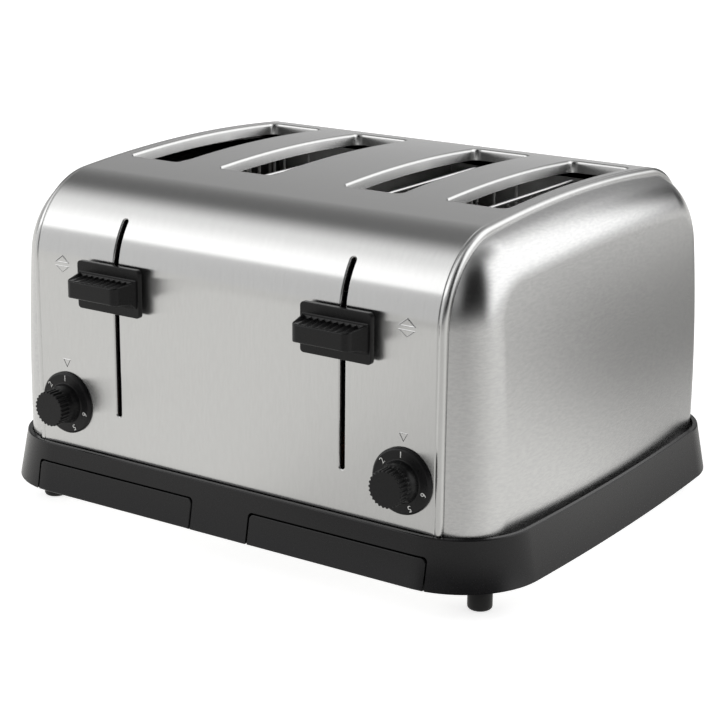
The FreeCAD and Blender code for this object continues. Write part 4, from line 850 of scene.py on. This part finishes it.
def make_base():
    skin = Skin()
    section = rim_section()
    wall_top = section[0][1]
    edge = plan_marks(0.0, (PLAN.marks[1] + PLAN.marks[2]) / 2)[-1]
    front = plan_marks(-edge, edge)
    rest = plan_marks(edge, PLAN.length) + plan_marks(-PLAN.length, -edge)[1:]
    notches = [front_outline(sign * LEVER_LINE, TRAY_HALF + TRAY_GAP, UNDER + TRAY_HEIGHT + TRAY_GAP)
               for _, sign in SIDES]
    cuts = [(notch[0][0][0], notch[-1][0][0]) for notch in notches]
    spans = ((-edge, cuts[0][0]), (cuts[0][1], cuts[1][0]), (cuts[1][1], edge))

    def wall_face(lay, inset_at, top):
        """Front part of a wall with the openings of both trays; gives its upper row from left to right."""
        outline = []
        for k, (start, end) in enumerate(spans):
            first = start if k == 0 else on_plan(start, inset_at(UNDER))
            last = end if k == 2 else on_plan(end, inset_at(UNDER))
            inner = [u for u in front if first + MM < u < last - MM]
            outline += [(u, UNDER) for u in (first, *inner, last)]
            if k < 2:
                outline += [(on_plan(x, inset_at(z)), z) for (x, z), _ in notches[k][1:-1]]
        lower = len(outline)
        outline += [(u, top) for u in reversed(front)]
        filling = grid(front, steps(UNDER, top, WALL_STEPS)[1:-1])
        return panel(skin, lay, outline, [], filling, WALL_MARGIN)[0][lower:][::-1]

    def wall_rest(lay, top):
        rows = [[skin.point(*lay(u, z)) for u in rest] for z in (UNDER, top)]
        skin.strip(*rows)
        return rows[1]

    # outside and rim; the places where the front part and the rest meet count once
    row = wall_face(wall_point, flared, wall_top) + wall_rest(wall_point, wall_top)[1:-1]
    ring = front + rest[1:-1]
    relief = [relieved(u) for u in ring]
    for inset, height, angle in section[1:]:
        following = []
        for u, less in zip(ring, relief):
            drawn = inset - (less if inset > FLARE + RIM_ROUND + 0.1 * MM else 0.0)
            spot, way = plan_point(u, drawn)
            normal = Vector((way.x * cos(angle), way.y * cos(angle), sin(angle)))
            following.append(skin.point((spot.x, spot.y, height), normal))
        skin.strip(row, following, closed=True)
        row = following
    # deck with its crumb wells
    wells = []
    for _, sign in SIDES:
        well = rounded_outline(*WELL_HALF, WELL_CORNER, 4, 3)
        wells.append([(sign * LEVER_LINE + spot.x, SLOT_MIDDLE + spot.y) for spot, _ in well])
    rims = [(skin.points[i].x, skin.points[i].y) for i in row]
    under_rim = [tuple(plan_point(u, BASE_SHELL)[0]) for u in ring]
    down = Vector((0, 0, -1))
    upper = panel(skin, lambda x, y: (Vector((x, y, DECK)), -down), rims, wells, [], MM)
    lower = panel(skin, lambda x, y: (Vector((x, y, DECK_UNDERSIDE)), down), under_rim, wells, [], MM)
    for pair in zip(upper[1:], lower[1:]):
        middle = sum((skin.points[i] for i in pair[0]), Vector()) / len(pair[0])
        facing = [(middle - skin.points[i]).normalized() for i in pair[0]]
        sides = [[skin.point(skin.points[i], n) for i, n in zip(found, facing)] for found in pair]
        skin.strip(*sides, closed=True)
    # inside of the wall, its lower face and the sides of the openings
    wall_face(inner_wall, lambda z: BASE_SHELL, DECK_UNDERSIDE)
    wall_rest(inner_wall, DECK_UNDERSIDE)

    def across_wall(u):
        """Distances along of the outer and the inner end of a line straight through the wall."""
        return (on_plan(u), on_plan(u, BASE_SHELL)) if abs(u) < edge else (u, u)

    lower_edges = [[(u, u) for u in rest]]
    for start, end in spans:
        between_ends = [(u, u) for u in front if start + MM < u < end - MM]
        lower_edges.append([across_wall(start)] + between_ends + [across_wall(end)])
    for found in lower_edges:
        outer = [skin.point((*plan_point(u)[0], UNDER), down) for u, _ in found]
        inner = [skin.point((*plan_point(u, BASE_SHELL)[0], UNDER), down) for _, u in found]
        skin.strip(outer, inner)
    for notch in notches:
        outer = []
        inner = []
        for (x, z), (across, up) in notch:
            normal = Vector((-across, 0, -up))
            outer.append(skin.point(wall_point(on_plan(x, flared(z)), z)[0], normal))
            inner.append(skin.point(inner_wall(on_plan(x, BASE_SHELL), z)[0], normal))
        skin.strip(outer, inner)
    for foot in FEET:
        add_turned(skin, BOSS_SECTION, BOSS_STEPS, standing(foot))
    finish_piece(skin.shell("base_shell"), "base_plastic", "root", "base_moulding")


# Fronts of the crumb trays
TRAY_EDGE = 0.5 * MM
TRAY_EDGE_STEPS, TRAY_FILLING = 5, (40, 4)


def make_tray_front(side, sign):
    skin = Skin()
    outline = front_outline(sign * LEVER_LINE, TRAY_HALF, UNDER + TRAY_HEIGHT)
    sill = steps(outline[-1][0][0], outline[0][0][0], FRONT_STEPS["top"])[1:-1]
    outline += [((x, UNDER), (0.0, -1.0)) for x in sill]
    back = BASE_LOW.y + TRAY_DEPTH

    def flush(x, z, depth=0.0):
        return wall_point(on_plan(x, flared(z)), z, depth)

    def ring(inset, depth, angle, flat=False):
        row = []
        for (x, z), (across, up) in outline:
            spot, face = flush(x - inset * across, z - inset * up, depth)
            if flat:
                spot.y = back
            normal = cos(angle) * Vector((across, 0, up)) + sin(angle) * face
            row.append(skin.point(spot, normal))
        return row

    rows = [ring(0.0, TRAY_EDGE, 0.0, flat=True)]
    rows += [ring(*stage) for stage in quarter_round(TRAY_EDGE, TRAY_EDGE_STEPS)[:-1]]
    inner = [(x - TRAY_EDGE * across, z - TRAY_EDGE * up) for (x, z), (across, up) in outline]
    rows += panel(skin, flush, inner, [], grid_over(inner, *TRAY_FILLING), WALL_MARGIN)
    for first, second in zip(rows, rows[1:]):
        skin.strip(first, second, closed=True)
    rear = [spot for spot, _ in outline]
    panel(skin, lambda x, z: (Vector((x, back, z)), Vector((0, 1, 0))), rear, [], [], MM)
    face = skin.shell(f"tray_face_{side}")
    finish_piece(face, "base_plastic", f"crumb_tray_{side}", f"tray_front_{side}")


# Smooth forms without normals of their own
def band(first, second):
    """Faces between two closed rows of points."""
    faces = []
    for i in range(len(first)):
        j = (i + 1) % len(first)
        corners = (first[i], first[j], second[j], second[i])
        faces.append([c for k, c in enumerate(corners) if c != corners[k - 1]])
    return faces


def smooth_object(name, points, faces):
    """Object whose faces are turned outward and shaded smooth."""
    made = new_object(name, points, faces)
    bm = bmesh.new()
    bm.from_mesh(made.data)
    bmesh.ops.recalc_face_normals(bm, faces=bm.faces)
    bm.to_mesh(made.data)
    bm.free()
    made.data.shade_smooth()
    return made


def smooth_turned(name, section, count, lay, dent=None):
    """Object of revolution of a section in millimetres; dent() takes something off the radius."""
    points = []
    rows = []
    for radius, reach in ((r * MM, s * MM) for r, s in section):
        if radius == 0.0:
            rows.append([len(points)] * count)
            points.append(lay(0.0, 0.0, reach))
            continue
        rows.append(range(len(points), len(points) + count))
        for turn in full_turn(count):
            points.append(lay(radius - (dent(turn, radius, reach) if dent else 0.0), turn, reach))
    faces = []
    for first, second in zip(rows, rows[1:]):
        faces += band(first, second)
    return smooth_object(name, points, faces)


# Feet
FOOT_STEPS = 48
FOOT_SECTION = (
    (0.0, 0.0), (4.6, 0.0), (5.2, 0.12), (5.7, 0.45), (6.05, 0.95), (6.2, 1.6), (6.2, 14.8), (6.0, 15.0),
    (2.5, 15.0), (2.5, 22.6), (2.1, 23.0), (0.0, 23.0),
)


def make_foot(foot):
    made = smooth_turned(f"rubber_foot_{foot}", FOOT_SECTION, FOOT_STEPS, standing(foot))
    finish_piece(made, "foot_plastic", "root", f"foot_{foot}")


# Browning knobs: a fluted grip on a dial
KNOB_SECTION = (
    (3.02, 13.0), (3.02, 0.7), (3.3, 0.4), (16.4, 0.4), (16.62, 0.46), (16.7, 0.62), (16.7, 0.7),
    (16.7, 1.06), (16.64, 1.16), (15.68, 2.13), (15.56, 2.19), (15.4, 2.2), (15.2, 2.2), (11.3, 2.2),
    (11.1, 2.24), (10.86, 2.42), (10.7, 2.7), (10.62, 3.1), (10.1, 5.6), (9.98, 5.9), (9.5, 7.2),
    (9.5, 9.0), (9.5, 9.3), (9.5, 9.6), (9.5, 9.85), (9.5, 10.05), (9.5, 10.2), (9.5, 10.5),
    (9.5, 14.8), (9.47, 15.12), (9.36, 15.32), (9.2, 15.44), (9.0, 15.5), (8.2, 15.5), (0.0, 15.5),
)
FLUTES, FLUTE_RADIUS, FLUTE_DEPTH, FLUTE_END = 26, 0.8 * MM, 0.65 * MM, 10.0 * MM
FLUTE_STEPS = 12
GRIP_RADIUS = 9.5 * MM
FLUTED = (GRIP_RADIUS - 0.6 * MM, GRIP_RADIUS + 0.01 * MM)
DIAL_FACE, NUMBER_RADIUS, NUMBER_SIZE, NUMBER_RISE = 2.2 * MM, 13.5 * MM, 4.5 * MM, 0.1 * MM
NUMBER_ANGLES = (("1", 0.0), ("2", -50.0), ("3", -100.0), ("4", -150.0), ("5", 156.0), ("6", 107.0))


def flute(turn, radius, reach):
    """Depth of the flutes at an angle and a distance in front of the panel."""
    if not FLUTED[0] <= radius <= FLUTED[1]:
        return 0.0
    pitch = 2 * pi / FLUTES
    across = ((turn / pitch + 0.5) % 1.0 - 0.5) * pitch * GRIP_RADIUS
    past = max(0.0, FLUTE_END - reach)
    left = FLUTE_RADIUS ** 2 - across ** 2 - past ** 2
    return max(0.0, sqrt(max(left, 0.0)) - FLUTE_RADIUS + FLUTE_DEPTH)


def number_mesh(text):
    """Flat mesh of a number, set round its own middle."""
    curve = bpy.data.curves.new(f"number_{text}", "FONT")
    curve.body = text
    curve.size = NUMBER_SIZE
    curve.align_x = "CENTER"
    curve.align_y = "CENTER"
    curve.extrude = NUMBER_RISE
    curve.resolution_u = 4
    holder = bpy.data.objects.new(f"number_{text}", curve)
    flat = bpy.data.meshes.new_from_object(holder)
    bpy.data.objects.remove(holder)
    bpy.data.curves.remove(curve)
    return flat


def make_knob(side, sign):
    centre = Vector((sign * KNOB_ACROSS, PANEL, KNOB_HEIGHT))

    def lay(radius, turn, reach):
        return centre + Vector((radius * sin(turn), -reach, radius * cos(turn)))

    body = f"browning_control_{side}"
    made = smooth_turned(f"dial_knob_{side}", KNOB_SECTION, FLUTES * FLUTE_STEPS, lay, flute)
    finish_piece(made, "knob_plastic", body, f"browning_knob_{side}")
    points = []
    faces = []
    for text, angle in NUMBER_ANGLES:
        flat = number_mesh(text)
        turn = radians(angle)
        up = Vector((sin(turn), 0, cos(turn)))
        right = Vector((cos(turn), 0, -sin(turn)))
        start = len(points)
        for x, y, z in (vertex.co for vertex in flat.vertices):
            flat_place = NUMBER_RADIUS * up + x * right + y * up
            points.append(centre + flat_place + Vector((0, -DIAL_FACE - z, 0)))
        faces += [[start + i for i in face.vertices] for face in flat.polygons]
        bpy.data.meshes.remove(flat)
    numbers = new_object(f"dial_numbers_{side}", points, faces)
    finish_piece(numbers, "knob_plastic", body, finish="dial_print")


# Lever knobs: a plate with a grooved thumb rest, the rest's own sizes in millimetres
LEVER_HEIGHT = DECK + 95.5 * MM
PLATE_HALF, PLATE_RISE, PLATE_CORNER, PLATE_EDGE = 20.5 * MM, 12.6 * MM, 2.0 * MM, 0.5 * MM
PLATE_BACK, PLATE_FRONT = PANEL - 3.2 * MM, PANEL - 6.2 * MM
PLATE_BACK_EDGE, PLATE_EDGE_STEPS = 0.3 * MM, 4
GRIP_LENGTH = 13.8
GRIP_HALF_FRONT, GRIP_HALF_ROOT, GRIP_CORNER = 17.0, 19.2, 4.4
GRIP_TOP = ((1.0, 5.2), (12.6, 6.5), (13.4, 6.9), (13.8, 7.4))
GRIP_UNDER = ((1.0, -3.8), (10.8, -4.8), (13.8, -7.8))
GRIP_EDGE, GRIP_SIDE_ROUND = 1.0, 0.6
GRIP_TOP_STEPS, GRIP_UNDER_STEPS, GRIP_ROUND_STEPS = 150, 24, 5
GROOVE_COUNT, GROOVE_PITCH, GROOVE_RADIUS, GROOVE_LEVEL, GROOVE_END = 9, 3.7, 2.0, 6.95, 12.6
GRIP_STATIONS = (
    0.0, 0.03, 0.1, 0.22, 0.4, 0.62, 0.85, 1.0, 1.4, 2.0, 2.8, 3.6, 4.4, 5.5, 7.0, 9.0, 10.8, 11.6, 12.3,
    12.58, 12.62, 12.9, 13.2, 13.45, 13.65, 13.8,
)


def between(table, value):
    """Height of a table of (distance, height) pairs at a distance, held at its first height before it."""
    if value <= table[0][0]:
        return table[0][1]
    for (a, low), (b, high) in zip(table, table[1:]):
        if value <= b:
            return low + (high - low) * (value - a) / (b - a)
    return table[-1][1]


def rounding(radius, distance):
    """How far a round edge of a radius lies back at a distance from its start."""
    short = max(0.0, 1 - distance / radius)
    return radius * (1 - sqrt(1 - short * short))


def grip_ring(distance):
    """Section of the thumb rest at a distance from its front, as (across, up) in millimetres."""
    widening = (GRIP_HALF_ROOT - GRIP_HALF_FRONT) / (GRIP_LENGTH - GRIP_CORNER)
    half = GRIP_HALF_FRONT + max(0.0, distance - GRIP_CORNER) * widening - rounding(GRIP_CORNER, distance)
    top = between(GRIP_TOP, distance) - rounding(GRIP_EDGE, distance)
    low = between(GRIP_UNDER, distance) + rounding(GRIP_EDGE, distance)
    flat = half - GRIP_SIDE_ROUND

    def corner(x, z, quarter):
        angles = steps(quarter * pi / 2, (quarter + 1) * pi / 2, GRIP_ROUND_STEPS)
        return [(x + GRIP_SIDE_ROUND * cos(a), z + GRIP_SIDE_ROUND * sin(a)) for a in angles]

    ring = []
    last = GROOVE_COUNT // 2
    for x in steps(flat, -flat, GRIP_TOP_STEPS):
        level = top
        off = x - GROOVE_PITCH * max(-last, min(last, round(x / GROOVE_PITCH)))
        if distance < GROOVE_END and abs(off) < GROOVE_RADIUS:
            level = min(top, GROOVE_LEVEL - sqrt(GROOVE_RADIUS ** 2 - off ** 2))
        ring.append((x, level))
    ring += corner(-flat, top - GRIP_SIDE_ROUND, 1)[1:]
    ring += corner(-flat, low + GRIP_SIDE_ROUND, 2)
    ring += [(x, low) for x in steps(-flat, flat, GRIP_UNDER_STEPS)[1:]]
    ring += corner(flat, low + GRIP_SIDE_ROUND, 3)[1:]
    ring += corner(flat, top - GRIP_SIDE_ROUND, 4)[:-1]
    return ring


def make_lever(side, sign):
    line = sign * LEVER_LINE
    grip_front = PLATE_FRONT - GRIP_LENGTH * MM
    rings = []
    for distance in GRIP_STATIONS:
        y = grip_front + distance * MM
        rings.append([Vector((line + x * MM, y, LEVER_HEIGHT + z * MM)) for x, z in grip_ring(distance)])
    # the plate, from its back over its edge to the front, where the rest stands on it
    levels = [(PLATE_BACK_EDGE, PLATE_BACK), (0.0, PLATE_BACK - PLATE_BACK_EDGE)]
    for inset, depth, _ in quarter_round(PLATE_EDGE, PLATE_EDGE_STEPS):
        levels.append((inset, PLATE_FRONT + depth))
    plate = []
    for inset, y in levels:
        spots = [p - inset * w for p, w in rounded_outline(PLATE_HALF, PLATE_RISE, PLATE_CORNER, 12, 6)]
        plate.append([Vector((line + spot.x, y, LEVER_HEIGHT + spot.y)) for spot in spots])
    points = []
    faces = []
    for form in (rings, plate):
        rows = []
        for ring in form:
            rows.append(range(len(points), len(points) + len(ring)))
            points += ring
        for first, second in zip(rows, rows[1:]):
            faces += band(first, second)
        faces.append(list(rows[0]))
    faces.append(list(rows[-1]))
    made = smooth_object(f"thumb_lever_{side}", points, faces)
    crisp = made.modifiers.new("crisp", "WEIGHTED_NORMAL")
    crisp.keep_sharp = True
    finish_piece(made, "knob_plastic", f"carriage_{side}", f"lever_knob_{side}")


# Marks on the front panel: triangles above the knobs and a pair of arrows beside each lever
MARK_LIFT, MARK_WIDTH, MARK_SINK = 0.22 * MM, 0.24 * MM, 0.05 * MM
KNOB_MARK = ((-2.3, 88.6), (2.2, 88.6), (0.0, 84.6))
ARROWS = (
    ((31.95, 141.2), (36.4, 144.65), (40.9, 141.2)),
    ((31.95, 139.15), (40.65, 139.15), (36.35, 136.0)),
)


def add_mark(lit, shaded, corners):
    """Raised outline of a triangle on the panel, its slopes parted into those that face up, for painted
    highlight, and down, for painted shade.
    """
    corners = [Vector(c) for c in corners]
    middle = sum(corners, Vector((0, 0))) / 3
    inward = []
    for a, b in zip(corners, corners[1:] + corners[:1]):
        normal = Vector((a.y - b.y, b.x - a.x)).normalized()
        inward.append(normal if normal.dot(middle - a) > 0 else -normal)
    mitres = [(inward[i - 1] + inward[i]) / (1 + inward[i - 1].dot(inward[i])) for i in range(3)]
    sunk, crest = PANEL + MARK_SINK, PANEL - MARK_LIFT

    def spot(i, shift, y):
        flat = corners[i] + shift * mitres[i]
        return Vector((flat.x, y, flat.y))

    for i in range(3):
        j = (i + 1) % 3
        slope = Vector((inward[i].x, 0, inward[i].y))
        for shift, way in ((-MARK_WIDTH, -1), (MARK_WIDTH, 1)):
            normal = way * slope * MARK_LIFT + Vector((0, -MARK_WIDTH, 0))
            quad = ((i, shift, sunk), (j, shift, sunk), (j, 0.0, crest), (i, 0.0, crest))
            # the slope's facing picks its finish: painted highlight when it faces up, painted shade when
            # it faces down
            skin = lit if normal.z > 0 else shaded
            skin.face(*(skin.point(spot(*corner), normal) for corner in quad))
        back = ((i, -MARK_WIDTH), (j, -MARK_WIDTH), (j, MARK_WIDTH), (i, MARK_WIDTH))
        lit.face(*(lit.point(spot(*corner, sunk), (0, 1, 0)) for corner in back))


def make_marks():
    lit, shaded = Skin(), Skin()
    for _, sign in SIDES:
        add_mark(lit, shaded, [(sign * KNOB_ACROSS + x * MM, z * MM) for x, z in KNOB_MARK])
        for arrow in ARROWS:
            add_mark(lit, shaded, [(sign * (LEVER_LINE + x * MM), z * MM) for x, z in arrow])
    # the up-facing slopes take the pale steel as painted highlight, the down-facing ones the dark steel as
    # painted shade
    finish_piece(lit.shell("marks_painted_highlight"), "wrap_steel", "root", finish="mark_steel_painted_highlight")
    finish_piece(shaded.shell("mark_undersides_painted_shade"), "wrap_steel", "root", finish="mark_steel_painted_shade")


make_wrap()
make_cover("end_cover_right", False)
make_cover("end_cover_left", True)
make_base()
make_marks()
for foot in FEET:
    make_foot(foot)
for side, sign in SIDES:
    make_tray_front(side, sign)
    make_knob(side, sign)
    make_lever(side, sign)

# Studio. Strengths of the light over the front, the top and the back: (from degree, to degree, strength)
ARC_START = 0.9
ARC_LIGHTS = (
    (31.0, 34.0, 2.0), (45.0, 75.0, 1.35), (74.0, 108.0, 0.17), (120.0, 168.0, 0.5), (168.0, 180.0, 0.7),
)


def studio_world():
    world = bpy.data.worlds.new("studio")
    bpy.context.scene.world = world
    n = Nodes(world)
    split = n.add("SeparateXYZ", {"Vector": n.add("TexCoord").outputs["Generated"]})
    x, y, z = split.outputs
    arc = n.bearing(z, y)
    level = ARC_START
    for low, high, strength in ARC_LIGHTS:
        level = n.fade(arc, low, high, level, strength)
    # round the right, as the right cover sees it
    turn = n.bearing(x, y)
    gloom = n.fade(z, 0.85, 1.0, n.step(z, -0.04, 0.2, 0.5, 0.0), 0.2)
    gloom = n.fade(turn, 8.0, 36.0, n.step(z, 0.25, 0.5, 0.2, 0.5), gloom)
    window = n.fade(z, 0.74, 0.97, n.step(z, -0.06, 0.2, 0.68, 1.8), 0.24)
    rear = n.step(z, 0.24, 0.6, 0.0, 0.97)
    right = n.fade(turn, 76.0, 104.0, gloom, window)
    right = n.fade(turn, 154.0, 172.0, right, rear)
    level = n.fade(x, -0.4, -0.2, level, right)
    path = n.add("LightPath")
    seen = n.blend(path.outputs["Is Camera Ray"], level, 1.0)
    light = n.add("Background", {"Color": (1, 1, 1, 1), "Strength": seen})
    n.add("OutputWorld", {"Surface": light.outputs[0]})


FLOOR_HALF = 6.0


def studio_floor():
    """White paper that glows a little and looks darker in the places that the body mirrors."""
    corners = [Vector((x, y, 0)) for x, y in ((-1, -1), (1, -1), (1, 1), (-1, 1))]
    floor = new_object("floor", [FLOOR_HALF * corner for corner in corners], [(0, 1, 2, 3)])
    n = material("floor_paper")
    x, y, _ = n.add("SeparateXYZ", {"Vector": n.place()}).outputs
    turn = n.bearing(x, y)
    away = n.maths("SQRT", n.maths("ADD", n.maths("MULTIPLY", x, x), n.maths("MULTIPLY", y, y)))
    tone = n.step(turn, -20.0, -2.0, 0.95, 0.72)
    distant = n.maths("MULTIPLY", n.step(away, 0.5, 1.6), n.step(turn, -34.0, -14.0))
    tone = n.blend(distant, tone, 0.5)
    tone = n.fade(turn, 34.0, 78.0, tone, n.step(away, 0.25, 0.6, 1.0, 0.92))
    behind = n.fade(away, 0.28, 0.52, 0.6, n.step(away, 0.8, 1.6, 0.3, 0.9))
    tone = n.fade(turn, 104.0, 142.0, tone, behind)
    mirrored = n.add("Emission", {"Color": (1.0, 0.993, 0.97, 1), "Strength": tone})
    paper = n.add("BsdfDiffuse", {"Color": (0.8, 0.8, 0.8, 1)})
    glow = n.add("Emission", {"Color": (1, 1, 1, 1), "Strength": 0.7})
    lit = n.add("AddShader", {0: paper.outputs[0], 1: glow.outputs[0]})
    glossy = n.add("LightPath").outputs["Is Glossy Ray"]
    both = n.add("MixShader", {"Fac": glossy, 1: lit.outputs[0], 2: mirrored.outputs[0]})
    n.add("OutputMaterial", {"Surface": both.outputs[0]})
    floor.data.materials.append(MATERIALS["floor_paper"])


studio_world()
studio_floor()

# Camera at the photograph's viewing angle
EYE = Vector((0.57972, -0.86041, 0.38239))
YAW, PITCH, ROLL = 0.5930215, 0.2856128, 0.0089171
SENSOR, LENS = 36.0, 98.28
CLIP_START = 0.05


def photo_camera():
    back = Vector((sin(YAW) * cos(PITCH), -cos(YAW) * cos(PITCH), sin(PITCH)))
    level = Vector((0, 0, 1)).cross(back).normalized()
    upright = back.cross(level)
    across = cos(ROLL) * level + sin(ROLL) * upright
    up = cos(ROLL) * upright - sin(ROLL) * level
    data = bpy.data.cameras.new("photo_camera")
    data.sensor_width = SENSOR
    data.lens = LENS
    data.clip_start = CLIP_START
    camera = bpy.data.objects.new("photo_camera", data)
    bpy.context.collection.objects.link(camera)
    camera.matrix_world = Matrix.Translation(EYE) @ Matrix((across, up, back)).transposed().to_4x4()
    bpy.context.scene.camera = camera


photo_camera()
bpy.context.scene.view_settings.view_transform = "Standard"
